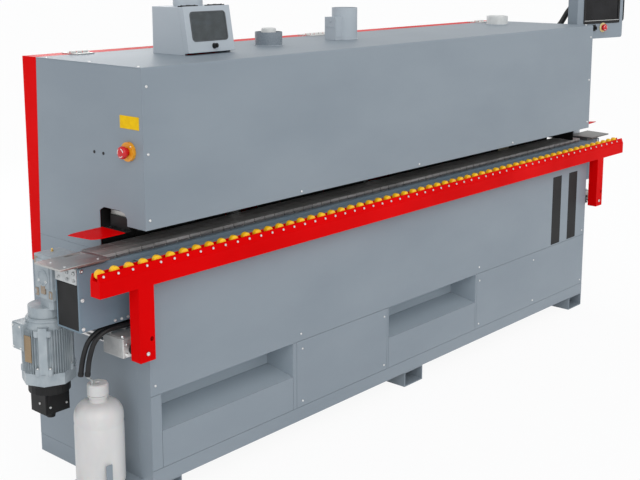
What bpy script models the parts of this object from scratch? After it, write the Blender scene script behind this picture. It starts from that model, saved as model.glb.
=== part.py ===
"""An edge banding machine: cabinet, feed conveyor, pull-out roller support, hood and working units.

Metres, +Z up, +X the way the panels travel, -Y the operator's side. Every piece is built with x = 0 at the
cabinet's left end, y = 0 at its front and z = 0 on the floor. One empty then puts the origin on the floor
under the middle of the machine."""

import math

import bmesh
import bpy
from mathutils import Matrix, Vector

GAP = 0.0003  # between faces that touch
SHEET = 0.003  # covers and hood
PLATE = 0.004  # welded cabinet walls

# The cabinet.
LENGTH = 2.773
CABINET_DEPTH = 0.617
FOOT_HEIGHT = 0.062
FOOT_WIDTH = 0.120
FOOT_WALL = 0.004
MIDDLE_FOOT_X = 1.316
TABLE_HEIGHT = 0.830  # top of the feed chain, and of the support rollers
FLANGE_DEPTH = 0.065  # side flanges of the front cover
NICHE_STARTS = (0.043, 1.205)
NICHE_WIDTH = 0.610
NICHE_BOTTOM = 0.240
NICHE_TOP = 0.365
NICHE_DEPTH = 0.130
NICHE_FLOOR_RISE = 0.020
BED_BOTTOM = 0.700
BED_THICKNESS = 0.020

# The conveyor.
PAD_THICKNESS = 0.0177
PAD_PITCH = 0.050
PAD_JOINT = 0.002
PAD_FRONT = 0.085
PAD_DEPTH = 0.110
BEAM_FRONT = 0.070
BEAM_WIDTH = 0.115
BEAM_HEIGHT = 0.200
BEAM_WALL = 0.006
BEAM_LEFT_REACH = 0.205  # past the cabinet's ends
BEAM_RIGHT_REACH = 0.250
END_PLATE_FRONT = 0.050
END_PLATE_DEPTH = 0.130
LEFT_PLATE_REACH = 0.280
RIGHT_PLATE_REACH = 0.312
PLATE_LENGTH = 0.180
END_PLATE_THICKNESS = 0.006
SPROCKET_RADIUS = 0.048
SPROCKET_TEETH = 12
SHAFT_RADIUS = 0.014
DRIVE_SHAFT_X = -0.150

# The roller support.
SUPPORT_FRONT = -0.050
SUPPORT_DEPTH = 0.045
SUPPORT_HEIGHT = 0.050
SUPPORT_WALL = 0.003
SUPPORT_LEFT_REACH = 0.216
SUPPORT_RIGHT_REACH = 0.277
SHOULDER_WIDTH = 0.0115  # of the rail's sloping shoulder at each side of the rollers
SHOULDER_SLOPE = 0.0085  # how far the shoulder leans in
SHOULDER_HEIGHT = 0.0225
SHOULDER_STEP = 0.0005
LEG_HOLE_RADIUS = 0.0075
ROLLER_RADIUS = 0.015
ROLLER_PITCH = 0.054
ROLLER_CLEARANCE = 0.003  # between a roller and the tube under it
SPINNING_ROLLERS = 3
LEG_WIDTH = 0.059
LEG_GAP = 0.016  # between leg and cabinet end
LEG_BOTTOM = 0.510
LEG_WALL = 0.004
GUIDE_RADIUS = 0.0125
GUIDE_HEIGHT = 0.535
GUIDE_REAR = 0.450
BLOCK_FRONT = 0.020
BLOCK_DEPTH = 0.100
BLOCK_RISE = 0.038  # above the guide bar's axis
BLOCK_DROP = 0.024
BLOCK_WIDTH = 0.085

# The hood and the rear doors.
HOOD_BOTTOM = 0.902
HOOD_TOP = 1.400
HOOD_DEPTH = 0.539
DOOR_FOOT_Y = 0.565  # where the doors' slanted inner edge ends
DOOR_BOTTOM = 0.700
MOUTH_FRONT = 0.089  # openings in the hood's ends
MOUTH_REAR = 0.227
MOUTH_TOP = 0.947
MOUTH_CORNER = 0.022
HINGE_XS = (0.171, 1.348, 1.427, 2.600)
HINGE_LENGTH = 0.070
HINGE_RADIUS = 0.005

# The view box on the hood.
VIEW_X = 0.360
VIEW_WIDTH = 0.211
VIEW_FRONT = 0.190
VIEW_REAR = 0.375
VIEW_HEIGHT = 0.158
VIEW_LEAN = 0.028
VIEW_DOOR_DEPTH = 0.024
WINDOW_WIDTH = 0.160
WINDOW_HEIGHT = 0.098
WINDOW_CORNER = 0.012

# Extraction ports on the hood: centre, radius, height.
PIPE_RADIUS = 0.051
PIPE_WALL = 0.002
PIPE_HEIGHT = 0.100
SHORT_PORT = (0.864, 0.316)
SHORT_PORT_HEIGHT = 0.050
TALL_PORT = (1.293, 0.311)
TALL_PORT_HEIGHT = 0.125
RIGHT_PORT_INSET = 0.250
RIGHT_PORT_Y = 0.383
RIGHT_PORT_HEIGHT = 0.042

# The control panel.
POST_SIDE = 0.060
POST_REACH = 0.224  # from the cabinet's right end to the post
POST_SETBACK = 0.015  # from the beam's rear to the post
POST_BOTTOM = 0.560
POST_TOP = 1.620
PIN_REACH = 0.212
PIN_ADVANCE = 0.045  # from the post's front to the panel's pin
PIN_HEIGHT = 1.480
PANEL_TURN = math.radians(-12)
PANEL_LEFT = -0.187
PANEL_WIDTH = 0.340
PANEL_FRONT = -0.106
PANEL_DEPTH = 0.060
PANEL_BOTTOM = 1.325
PANEL_HEIGHT = 0.315
HANDLE_REACH = 0.040
SCREEN_LEFT = -0.135
SCREEN_WIDTH = 0.255
SCREEN_BOTTOM = 1.405
SCREEN_HEIGHT = 0.200

# The drive, hung behind the conveyor's left end.
MOTOR_X = -0.185
MOTOR_SETBACK = 0.087  # from the beam's rear to the motor's axis
MOTOR_RADIUS = 0.070
FIN_HEIGHT = 0.010
FIN_COUNT = 28
MOTOR_TOP = 0.626
MOTOR_BOTTOM = 0.416
GEARBOX_BOTTOM = 0.690
GEARBOX_HEIGHT = 0.138
GEARBOX_DEPTH = 0.090

# The bottle at the left end.
BOTTLE_RADIUS = 0.078
BOTTLE_Y = 0.131
BOTTLE_CLEARANCE = 0.026  # from the cabinet's end
BOTTLE_BOTTOM = 0.075
BOTTLE_HEIGHT = 0.337
HOSE_RADIUS = 0.008

# The working units inside.
PRESS_CLEARANCE = 0.042  # between feed chain and pressure rollers
PRESS_INSET = 0.018  # from the mouth's edges to the pressure beam
UNIT_FRONT = 0.235
COLUMN_INSET = 0.100
COLUMN_SIDE = 0.060
COLUMN_TOP = 1.060

# The stop buttons.
STOP_RADIUS = 0.020
PANEL_STOP_RADIUS = 0.017
PANEL_STOP_TRAVEL = 0.004
STEM_SHARE = 0.62

PLUG_SIDES = 24

# What the front cover, the beam and the hood share.
BEAM_TOP = TABLE_HEIGHT - PAD_THICKNESS
BEAM_BOTTOM = BEAM_TOP - BEAM_HEIGHT
BEAM_REAR = BEAM_FRONT + BEAM_WIDTH
COVER_TOP = BEAM_TOP - 0.0123
BASE = FOOT_HEIGHT + GAP
RAIL_TOP = TABLE_HEIGHT - 2 * ROLLER_RADIUS - ROLLER_CLEARANCE  # top of the support's tube
MOTOR_Y = BEAM_REAR + MOTOR_SETBACK
POST_FRONT = BEAM_REAR + POST_SETBACK
PIN_Y = POST_FRONT - PIN_ADVANCE
AXLE_Z = BEAM_TOP - BEAM_WALL - SPROCKET_RADIUS - 0.003  # of both sprockets
PRESS_FRONT = MOUTH_FRONT + PRESS_INSET
PRESS_REAR = MOUTH_REAR - PRESS_INSET


def clear_scene():
    for obj in list(bpy.data.objects):
        bpy.data.objects.remove(obj, do_unlink=True)


def paint(name, colour, roughness=0.5, metallic=0.0):
    """The Principled material of this name, made once."""
    found = bpy.data.materials.get(name)
    if found:
        return found
    made = bpy.data.materials.new(name)
    made.use_nodes = True
    shader = made.node_tree.nodes["Principled BSDF"]
    shader.inputs["Base Color"].default_value = (*colour, 1)
    shader.inputs["Roughness"].default_value = roughness
    shader.inputs["Metallic"].default_value = metallic
    made.diffuse_color = (*colour, 1)
    return made


def grey():
    return paint("grey_paint", (0.30, 0.34, 0.37), 0.45)


def red():
    return paint("red_paint", (0.70, 0.0, 0.01), 0.4)


def steel():
    return paint("steel", (0.55, 0.56, 0.57), 0.3, 1.0)


def black():
    return paint("black_plastic", (0.015, 0.015, 0.016), 0.5)


def motor_grey():
    return paint("motor_paint", (0.36, 0.39, 0.40), 0.5)


def rubber():
    return paint("rubber", (0.03, 0.03, 0.03), 0.8)


def white():
    return paint("white_plastic", (0.80, 0.80, 0.78), 0.4)


def yellow():
    return paint("yellow_plastic", (0.90, 0.60, 0.02), 0.35)


def link(name, mesh, material):
    obj = bpy.data.objects.new(name, mesh)
    bpy.context.scene.collection.objects.link(obj)
    mesh.materials.append(material)
    return obj


def along(axis):
    """Turns a drawing's plane and height into the axis: X takes (y, z), Y (x, z), Z (x, y)."""
    columns = {"X": ((0, 1, 0), (0, 0, 1), (1, 0, 0)), "Y": ((1, 0, 0), (0, 0, 1), (0, 1, 0))}
    rows = columns.get(axis, ((1, 0, 0), (0, 1, 0), (0, 0, 1)))
    return Matrix(rows).transposed().to_4x4()


def prism(name, outline, axis, start, end, material):
    """The outline, a list of points in the plane across the axis, run from start to end along it."""
    build = bmesh.new()
    loop = [build.verts.new((u, v, start)) for u, v in outline]
    face = build.faces.new(loop)
    moved = bmesh.ops.extrude_face_region(build, geom=[face])["geom"]
    tops = [item for item in moved if isinstance(item, bmesh.types.BMVert)]
    bmesh.ops.translate(build, verts=tops, vec=(0, 0, end - start))
    bmesh.ops.transform(build, matrix=along(axis), verts=build.verts)
    bmesh.ops.recalc_face_normals(build, faces=build.faces)
    mesh = bpy.data.meshes.new(name)
    build.to_mesh(mesh)
    build.free()
    return link(name, mesh, material)


def block(name, low, high, material):
    outline = [(low[0], low[1]), (high[0], low[1]), (high[0], high[1]), (low[0], high[1])]
    return prism(name, outline, "Z", low[2], high[2], material)


def circle(centre, radius, sides=PLUG_SIDES):
    turn = 2 * math.pi / sides
    return [
        (centre[0] + radius * math.cos(turn * i), centre[1] + radius * math.sin(turn * i))
        for i in range(sides)
    ]


def rounded(low, high, radius, steps=3):
    """A rectangle with round corners."""
    points = []
    corners = ((high[0], high[1], 0), (low[0], high[1], 1), (low[0], low[1], 2), (high[0], low[1], 3))
    for x, y, quarter in corners:
        cx = x - radius if quarter in (0, 3) else x + radius
        cy = y - radius if quarter in (0, 1) else y + radius
        for i in range(steps + 1):
            angle = (quarter + i / steps) * math.pi / 2
            points.append((cx + radius * math.cos(angle), cy + radius * math.sin(angle)))
    return points


def rod(name, axis, centre, start, end, radius, material, sides=PLUG_SIDES):
    """A round bar along the axis; the centre is given in the plane across it."""
    return smooth(prism(name, circle(centre, radius, sides), axis, start, end, material))


def smooth(obj):
    obj.data.shade_smooth()
    obj.data.set_sharp_from_angle(angle=math.radians(35))
    return obj


def boolean(obj, tool, operation):
    """Applies one Boolean to the object and removes the tool."""
    modifier = obj.modifiers.new(operation.lower(), "BOOLEAN")
    modifier.operation = operation
    modifier.object = tool
    bpy.context.view_layer.update()
    graph = bpy.context.evaluated_depsgraph_get()
    made = bpy.data.meshes.new_from_object(obj.evaluated_get(graph))
    obj.modifiers.clear()
    obj.data = made
    bpy.data.objects.remove(tool, do_unlink=True)
    return obj


def join(obj, *tools):
    for tool in tools:
        boolean(obj, tool, "UNION")
    return obj


def cut(obj, *tools):
    for tool in tools:
        boolean(obj, tool, "DIFFERENCE")
    return obj


def joint_axis(name, place, turn=(0, 0, 0), parent=None):
    """An empty on a joint's axis; what moves with the joint hangs on it."""
    empty = bpy.data.objects.new(name, None)
    empty.empty_display_size = 0.05
    bpy.context.scene.collection.objects.link(empty)
    empty.location = place
    empty.rotation_euler = turn
    if parent:
        hang(empty, parent)
    return empty


def hang(obj, parent):
    """Parents the object and leaves it where it is."""
    bpy.context.view_layer.update()
    place = obj.matrix_world.copy()
    obj.parent = parent
    obj.matrix_parent_inverse = parent.matrix_world.inverted()
    obj.matrix_world = place


def tube(name, points, radius, material, resolution=2):
    """A closed round tube through smooth points."""
    curve = bpy.data.curves.new(name, "CURVE")
    curve.dimensions = "3D"
    curve.bevel_depth = radius
    curve.bevel_resolution = resolution
    curve.use_fill_caps = True
    spline = curve.splines.new("POLY")
    spline.points.add(len(points) - 1)
    for point, place in zip(spline.points, points):
        point.co = (*place, 1)
    obj = bpy.data.objects.new(name, curve)
    bpy.context.scene.collection.objects.link(obj)
    curve.materials.append(material)
    return obj


def flowing(points, count):
    """Points evenly along a Catmull-Rom curve through the given ones."""
    places = [Vector(point) for point in points]
    padded = [2 * places[0] - places[1], *places, 2 * places[-1] - places[-2]]
    fine = []
    for i in range(len(places) - 1):
        a, b, c, d = padded[i : i + 4]
        for step in range(20):
            t = step / 20
            bend = (2 * a - 5 * b + 4 * c - d) * t * t + (3 * b - a - 3 * c + d) * t**3
            fine.append(0.5 * (2 * b + (c - a) * t + bend))
    fine.append(places[-1])
    lengths = [0.0]
    for a, b in zip(fine, fine[1:]):
        lengths.append(lengths[-1] + (b - a).length)
    result = []
    for i in range(count):
        target = lengths[-1] * i / (count - 1)
        k = min(max(j for j, length in enumerate(lengths) if length <= target), len(fine) - 2)
        share = (target - lengths[k]) / (lengths[k + 1] - lengths[k])
        result.append(fine[k].lerp(fine[k + 1], share))
    return result


def door_edge(z):
    """How far back the covers reach at this height: the rear doors' inner edge slants."""
    share = (HOOD_TOP - z) / (HOOD_TOP - DOOR_BOTTOM)
    return HOOD_DEPTH + share * (DOOR_FOOT_Y - HOOD_DEPTH)


def build_cabinet():
    """Feet, the welded cabinet, the bed that carries the units, and the front cover with its two niches."""
    for name, x in (
        ("foot_left", 0),
        ("foot_middle", MIDDLE_FOOT_X),
        ("foot_right", LENGTH - FOOT_WIDTH),
    ):
        foot = block(name, (x, 0, 0), (x + FOOT_WIDTH, CABINET_DEPTH, FOOT_HEIGHT), grey())
        low = (x + FOOT_WALL, -1, FOOT_WALL)
        high = (x + FOOT_WIDTH - FOOT_WALL, 1, FOOT_HEIGHT - FOOT_WALL)
        cut(foot, block("hollow", low, high, grey()))
    front = FLANGE_DEPTH + GAP
    rear = CABINET_DEPTH
    wall = [
        (front, BASE),
        (rear, BASE),
        (rear, DOOR_BOTTOM - GAP),
        (door_edge(DOOR_BOTTOM) - GAP, DOOR_BOTTOM - GAP),
        (door_edge(COVER_TOP) - GAP, COVER_TOP),
        (BEAM_REAR + GAP, COVER_TOP),
        (BEAM_REAR + GAP, BEAM_BOTTOM - GAP),
        (front, BEAM_BOTTOM - GAP),
    ]
    cabinet = prism("cabinet_frame", wall, "X", 0, PLATE, grey())
    join(
        cabinet,
        prism("wall", wall, "X", LENGTH - PLATE, LENGTH, grey()),
        block("floor", (0, front, BASE), (LENGTH, rear, BASE + PLATE), grey()),
        block("back", (0, rear - PLATE, BASE), (LENGTH, rear, DOOR_BOTTOM - GAP), grey()),
    )
    bed = block(
        "machine_bed",
        (PLATE + GAP, BEAM_REAR + 0.005, BED_BOTTOM),
        (LENGTH - PLATE - GAP, HOOD_DEPTH - 0.004, BED_BOTTOM + BED_THICKNESS),
        steel(),
    )
    for x in (COLUMN_INSET, LENGTH - COLUMN_INSET - COLUMN_SIDE):
        low = (x, UNIT_FRONT + 0.005, BED_BOTTOM + 0.001)
        join(bed, block("column", low, (x + COLUMN_SIDE, low[1] + COLUMN_SIDE, COLUMN_TOP), steel()))
        low = (x, PRESS_REAR + GAP, TABLE_HEIGHT + PRESS_CLEARANCE + 0.020)
        join(bed, block("guide", low, (x + COLUMN_SIDE, UNIT_FRONT + 0.006, COLUMN_TOP), steel()))
    build_front_cover()


def build_front_cover():
    cover = block("front_cover", (0, 0, BASE), (LENGTH, FLANGE_DEPTH, COVER_TOP), grey())
    low = (SHEET, SHEET, BASE - 0.01)
    high = (LENGTH - SHEET, FLANGE_DEPTH + 0.01, COVER_TOP - SHEET)
    cut(cover, block("hollow", low, high, grey()))
    for x in NICHE_STARTS:
        low = (x - SHEET, 0.001, NICHE_BOTTOM - SHEET)
        high = (x + NICHE_WIDTH + SHEET, NICHE_DEPTH + SHEET, NICHE_TOP + SHEET)
        join(cover, block("niche", low, high, grey()))
        inside = [
            (-0.01, NICHE_BOTTOM),
            (0, NICHE_BOTTOM),
            (NICHE_DEPTH, NICHE_BOTTOM + NICHE_FLOOR_RISE),
            (NICHE_DEPTH, NICHE_TOP),
            (-0.01, NICHE_TOP),
        ]
        cut(cover, prism("inside", inside, "X", x, x + NICHE_WIDTH, grey()))


def build_conveyor():
    """The box beam, its cover and end plates, and the feed chain on it with a sprocket at each end."""
    start = -BEAM_LEFT_REACH
    end = LENGTH + BEAM_RIGHT_REACH
    beam = block("conveyor_beam", (start, BEAM_FRONT, BEAM_BOTTOM), (end, BEAM_REAR, BEAM_TOP), grey())
    inner_low = (start - 0.01, BEAM_FRONT + BEAM_WALL, BEAM_BOTTOM + BEAM_WALL)
    inner_high = (end - BEAM_WALL, BEAM_REAR - BEAM_WALL, BEAM_TOP - BEAM_WALL)
    cut(beam, block("hollow", inner_low, inner_high, grey()))
    bore = SHAFT_RADIUS + GAP
    cut(beam, rod("bore", "Y", (DRIVE_SHAFT_X, AXLE_Z), BEAM_REAR - 0.02, BEAM_REAR + 0.02, bore, grey()))
    side = BEAM_WALL + GAP
    block(
        "beam_cover",
        (start + GAP, BEAM_FRONT + side, BEAM_BOTTOM + side),
        (start + GAP + SHEET, BEAM_REAR - side, BEAM_BOTTOM + 0.146),
        black(),
    )
    rest = BEAM_TOP + GAP
    left = -LEFT_PLATE_REACH
    right = LENGTH + RIGHT_PLATE_REACH
    back = END_PLATE_FRONT + END_PLATE_DEPTH
    plate_low = TABLE_HEIGHT - END_PLATE_THICKNESS
    low = (left, END_PLATE_FRONT, plate_low)
    left_plate = block("end_plate_left", low, (left + PLATE_LENGTH, back, TABLE_HEIGHT), steel())
    tip = [
        (right - PLATE_LENGTH, END_PLATE_FRONT),
        (right, END_PLATE_FRONT),
        (right + 0.02, back),
        (right - PLATE_LENGTH, back),
    ]
    right_plate = prism("end_plate_right", tip, "Z", plate_low, TABLE_HEIGHT, steel())
    for plate, x0, x1 in (
        (left_plate, start + 0.005, left + PLATE_LENGTH),
        (right_plate, right - PLATE_LENGTH, end - 0.005),
    ):
        low = (x0, BEAM_FRONT + 0.005, rest)
        join(plate, block("spacer", low, (x1, BEAM_REAR - 0.005, plate_low + 0.001), steel()))
    chain_start = left + PLATE_LENGTH + 0.001
    count = int((right - PLATE_LENGTH - PAD_PITCH - chain_start) / PAD_PITCH)
    comb = [(chain_start, rest), (chain_start, TABLE_HEIGHT)]
    for i in range(1, count):
        x = chain_start + i * PAD_PITCH
        for place in ((x - PAD_JOINT, 0.0), (x - PAD_JOINT, -0.010), (x, -0.010), (x, 0.0)):
            comb.append((place[0], TABLE_HEIGHT + place[1]))
    comb += [(chain_start + count * PAD_PITCH, TABLE_HEIGHT), (chain_start + count * PAD_PITCH, rest)]
    chain = prism("feed_chain", comb, "Y", PAD_FRONT, PAD_FRONT + PAD_DEPTH, rubber())
    hang(chain, joint_axis("chain_axis", (chain_start, PAD_FRONT, rest)))
    build_sprockets(end)


def sprocket_outline(x, z):
    """A toothed wheel's outline, with a flat top on each tooth."""
    points = []
    turn = 2 * math.pi / SPROCKET_TEETH
    for tooth in range(SPROCKET_TEETH):
        for share, radius in ((0.0, 0.85), (0.3, 0.85), (0.45, 1.0), (0.85, 1.0)):
            angle = turn * (tooth + share)
            reach = SPROCKET_RADIUS * radius
            points.append((x + reach * math.cos(angle), z + reach * math.sin(angle)))
    return points


def build_sprockets(beam_end):
    inner_front = BEAM_FRONT + BEAM_WALL + GAP
    inner_rear = BEAM_REAR - BEAM_WALL - GAP
    middle = (BEAM_FRONT + BEAM_REAR) / 2
    for name, x, reach in (
        ("drive_sprocket", DRIVE_SHAFT_X, BEAM_REAR + GEARBOX_DEPTH - 0.005),
        ("idler_sprocket", beam_end - 0.080, inner_rear),
    ):
        wheel = prism(name, sprocket_outline(x, AXLE_Z), "Y", middle - 0.01, middle + 0.01, steel())
        join(wheel, rod("shaft", "Y", (x, AXLE_Z), inner_front, reach, SHAFT_RADIUS, steel()))
        hang(smooth(wheel), joint_axis(name + "_axis", (x, middle, AXLE_Z)))


def build_drive():
    """The worm gearbox at the beam's rear, the finned motor under it and the motor's black cowl."""
    front = BEAM_REAR + 0.003
    rear = front + GEARBOX_DEPTH
    top = GEARBOX_BOTTOM + GEARBOX_HEIGHT
    low = (MOTOR_X - 0.030, front, GEARBOX_BOTTOM)
    gearbox = block("gearbox", low, (MOTOR_X + 0.062, rear, top), motor_grey())
    neck = rounded((MOTOR_X - 0.024, front + 0.016), (MOTOR_X + 0.048, rear - 0.004), 0.015)
    join(
        gearbox,
        prism("neck", neck, "Z", MOTOR_TOP + 0.030, GEARBOX_BOTTOM + 0.005, motor_grey()),
        rod("flange", "Z", (MOTOR_X, MOTOR_Y), MOTOR_TOP + GAP, MOTOR_TOP + 0.034, 0.056, motor_grey()),
        block("arm", (MOTOR_X, front, top - 0.060), (-GAP, rear - 0.005, top - 0.042), motor_grey()),
    )
    bore = SHAFT_RADIUS + GAP
    cut(gearbox, rod("bore", "Y", (DRIVE_SHAFT_X, AXLE_Z), front - 0.01, rear - 0.006, bore, steel()))
    fins = []
    turn = 2 * math.pi / FIN_COUNT
    for i in range(FIN_COUNT):
        for share, rise in ((0.0, 0), (0.62, 0), (0.68, FIN_HEIGHT), (0.94, FIN_HEIGHT)):
            angle = turn * (i + share)
            reach = MOTOR_RADIUS + rise
            fins.append((MOTOR_X + reach * math.cos(angle), MOTOR_Y + reach * math.sin(angle)))
    motor = prism("drive_motor", fins, "Z", MOTOR_BOTTOM + 0.055, MOTOR_TOP - 0.030, motor_grey())
    join(
        motor,
        rod("shoulder", "Z", (MOTOR_X, MOTOR_Y), MOTOR_TOP - 0.035, MOTOR_TOP, 0.062, motor_grey()),
        rod("flange", "Z", (MOTOR_X, MOTOR_Y), MOTOR_BOTTOM, MOTOR_BOTTOM + 0.060, 0.085, motor_grey(), 8),
        block(
            "terminal_box",
            (MOTOR_X - 0.075, MOTOR_Y + 0.005, MOTOR_TOP - 0.102),
            (MOTOR_X - 0.035, MOTOR_Y + 0.060, MOTOR_TOP - 0.015),
            motor_grey(),
        ),
    )
    cowl_top = MOTOR_BOTTOM - GAP
    cowl = rod("motor_cowl", "Z", (MOTOR_X, MOTOR_Y), cowl_top - 0.036, cowl_top, 0.066, black())
    join(
        cowl,
        block(
            "brake",
            (MOTOR_X - 0.045, MOTOR_Y - 0.040, cowl_top - 0.105),
            (MOTOR_X + 0.045, MOTOR_Y + 0.040, cowl_top - 0.030),
            black(),
        ),
        rod("gland", "Z", (MOTOR_X, MOTOR_Y), cowl_top - 0.130, cowl_top - 0.100, 0.014, black(), 12),
    )


def build_support():
    """The red rail with its legs, rollers and guide bars, which pulls out through two bearing blocks."""
    start = -SUPPORT_LEFT_REACH
    end = LENGTH + SUPPORT_RIGHT_REACH
    front = SUPPORT_FRONT
    rear = SUPPORT_FRONT + SUPPORT_DEPTH
    bottom = RAIL_TOP - SUPPORT_HEIGHT
    rail = block("roller_support", (start, front, bottom), (end, rear, RAIL_TOP), red())
    shoulder_top = RAIL_TOP + SHOULDER_HEIGHT
    for y, way in ((front, 1), (rear, -1)):
        foot = y + way * SHOULDER_STEP
        shoulder = [
            (foot, RAIL_TOP - 0.001),
            (foot, RAIL_TOP),
            (y + way * SHOULDER_SLOPE, shoulder_top),
            (y + way * SHOULDER_WIDTH, shoulder_top),
            (y + way * SHOULDER_WIDTH, RAIL_TOP - 0.001),
        ]
        join(rail, prism("shoulder", shoulder, "X", start, end, red()))
    leg_starts = (-LEG_GAP - LEG_WIDTH, LENGTH + LEG_GAP)
    for x in leg_starts:
        low = (x, front, LEG_BOTTOM)
        join(rail, block("leg", low, (x + LEG_WIDTH, rear, bottom + 0.001), red()))
        low = (x + LEG_WALL, front + LEG_WALL, LEG_BOTTOM - 0.01)
        cut(rail, block("hollow", low, (x + LEG_WIDTH - LEG_WALL, rear + 0.01, bottom - 0.01), red()))
        for dx, z in ((0.047, LEG_BOTTOM + 0.069), (0.0295, GUIDE_HEIGHT)):
            cut(rail, rod("hole", "Y", (x + dx, z), front - 0.01, front + 0.02, LEG_HOLE_RADIUS, red(), 20))
    low = (start + SUPPORT_WALL, front + SUPPORT_WALL, bottom + SUPPORT_WALL)
    cut(rail, block("hollow", low, (end - SUPPORT_WALL, rear - SUPPORT_WALL, RAIL_TOP - SUPPORT_WALL), red()))
    middle = (start + end) / 2
    cut(rail, rod("drain", "Z", (middle, (front + rear) / 2), bottom - 0.01, bottom + 0.01, 0.006, red(), 12))
    slide = joint_axis("support_axis", (LENGTH / 2, rear, GUIDE_HEIGHT))
    hang(rail, slide)
    bar_start = front + LEG_WALL + GAP
    for side, x in zip(("left", "right"), leg_starts):
        centre = (x + LEG_WIDTH / 2, GUIDE_HEIGHT)
        bar = rod("guide_bar_" + side, "Y", centre, bar_start, GUIDE_REAR, GUIDE_RADIUS, steel())
        hang(bar, slide)
        block_x = -GAP - BLOCK_WIDTH if side == "left" else LENGTH + GAP
        low = (block_x, BLOCK_FRONT, GUIDE_HEIGHT - BLOCK_DROP)
        high = (block_x + BLOCK_WIDTH, BLOCK_FRONT + BLOCK_DEPTH, GUIDE_HEIGHT + BLOCK_RISE)
        bearing = block("bearing_block_" + side, low, high, steel())
        bore = GUIDE_RADIUS + GAP
        cut(bearing, rod("bore", "Y", centre, BLOCK_FRONT - 0.01, high[1] + 0.01, bore, steel()))
    build_rollers(slide, start, end, front, rear)


def build_rollers(slide, start, end, front, rear):
    """The first three rollers turn by themselves; the rest stand on one strip between the rail's shoulders."""
    axle_z = TABLE_HEIGHT - ROLLER_RADIUS
    y0 = front + SHOULDER_WIDTH + GAP
    y1 = rear - SHOULDER_WIDTH - GAP
    first = start + ROLLER_RADIUS + 0.002
    count = int((end - first - ROLLER_RADIUS) / ROLLER_PITCH) + 1
    for i in range(SPINNING_ROLLERS):
        x = first + i * ROLLER_PITCH
        roller = rod(f"roller_{i + 1}", "Y", (x, axle_z), y0, y1, ROLLER_RADIUS, yellow(), 20)
        hang(roller, joint_axis(f"roller_axis_{i + 1}", (x, (y0 + y1) / 2, axle_z), parent=slide))
    strip_low = RAIL_TOP + GAP
    reach = ROLLER_RADIUS * 0.8
    row_start = first + SPINNING_ROLLERS * ROLLER_PITCH
    row_end = first + (count - 1) * ROLLER_PITCH
    outline = [(row_start - reach, strip_low), (row_end + reach, strip_low)]
    for i in range(count - 1, SPINNING_ROLLERS - 1, -1):
        x = first + i * ROLLER_PITCH
        for step in range(13):
            angle = math.radians(-36.87 + step * 253.74 / 12)
            outline.append((x + ROLLER_RADIUS * math.cos(angle), axle_z + ROLLER_RADIUS * math.sin(angle)))
    hang(smooth(prism("roller_row", outline, "Y", y0, y1, yellow())), slide)


def build_hood():
    """The folded front and top sheet, and the two ends with the mouths that the panels pass through."""
    hood = [(0, HOOD_BOTTOM), (0, HOOD_TOP), (HOOD_DEPTH, HOOD_TOP)]
    hood += [(HOOD_DEPTH, HOOD_TOP - SHEET), (SHEET, HOOD_TOP - SHEET), (SHEET, HOOD_BOTTOM)]
    shell = prism("hood_shell", hood, "X", 0, LENGTH, grey())
    low = (VIEW_X + 0.02, VIEW_FRONT + 0.03, HOOD_TOP - 0.02)
    high = (VIEW_X + VIEW_WIDTH - 0.02, VIEW_REAR - 0.02, HOOD_TOP + 0.02)
    cut(shell, block("view_hole", low, high, grey()))
    bore = PIPE_RADIUS - PIPE_WALL
    cut(shell, rod("port_hole", "Z", TALL_PORT, HOOD_TOP - 0.02, HOOD_TOP + 0.02, bore, grey()))
    for x in HINGE_XS:
        low = (x - HINGE_LENGTH / 2, HOOD_DEPTH - 0.045, HOOD_TOP - 0.001)
        high = (x + HINGE_LENGTH / 2, HOOD_DEPTH - HINGE_RADIUS - 0.002, HOOD_TOP + 0.003)
        join(shell, block("leaf", low, high, grey()))
    edge = SHEET + GAP
    top = HOOD_TOP - edge
    corner = MOUTH_CORNER
    end = [
        (edge, HOOD_BOTTOM),
        (MOUTH_FRONT, HOOD_BOTTOM),
        (MOUTH_FRONT, MOUTH_TOP - corner),
        (MOUTH_FRONT + corner * 0.6, MOUTH_TOP - corner * 0.25),
        (MOUTH_FRONT + corner * 1.6, MOUTH_TOP),
        (MOUTH_REAR - corner, MOUTH_TOP),
        (MOUTH_REAR, MOUTH_TOP - corner * 0.6),
        (MOUTH_REAR, COVER_TOP + GAP),
        (door_edge(COVER_TOP) - GAP, COVER_TOP + GAP),
        (HOOD_DEPTH - GAP, top),
        (edge, top),
    ]
    prism("hood_end_left", end, "X", 0, SHEET, grey())
    prism("hood_end_right", end, "X", LENGTH - SHEET, LENGTH, grey())


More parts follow.
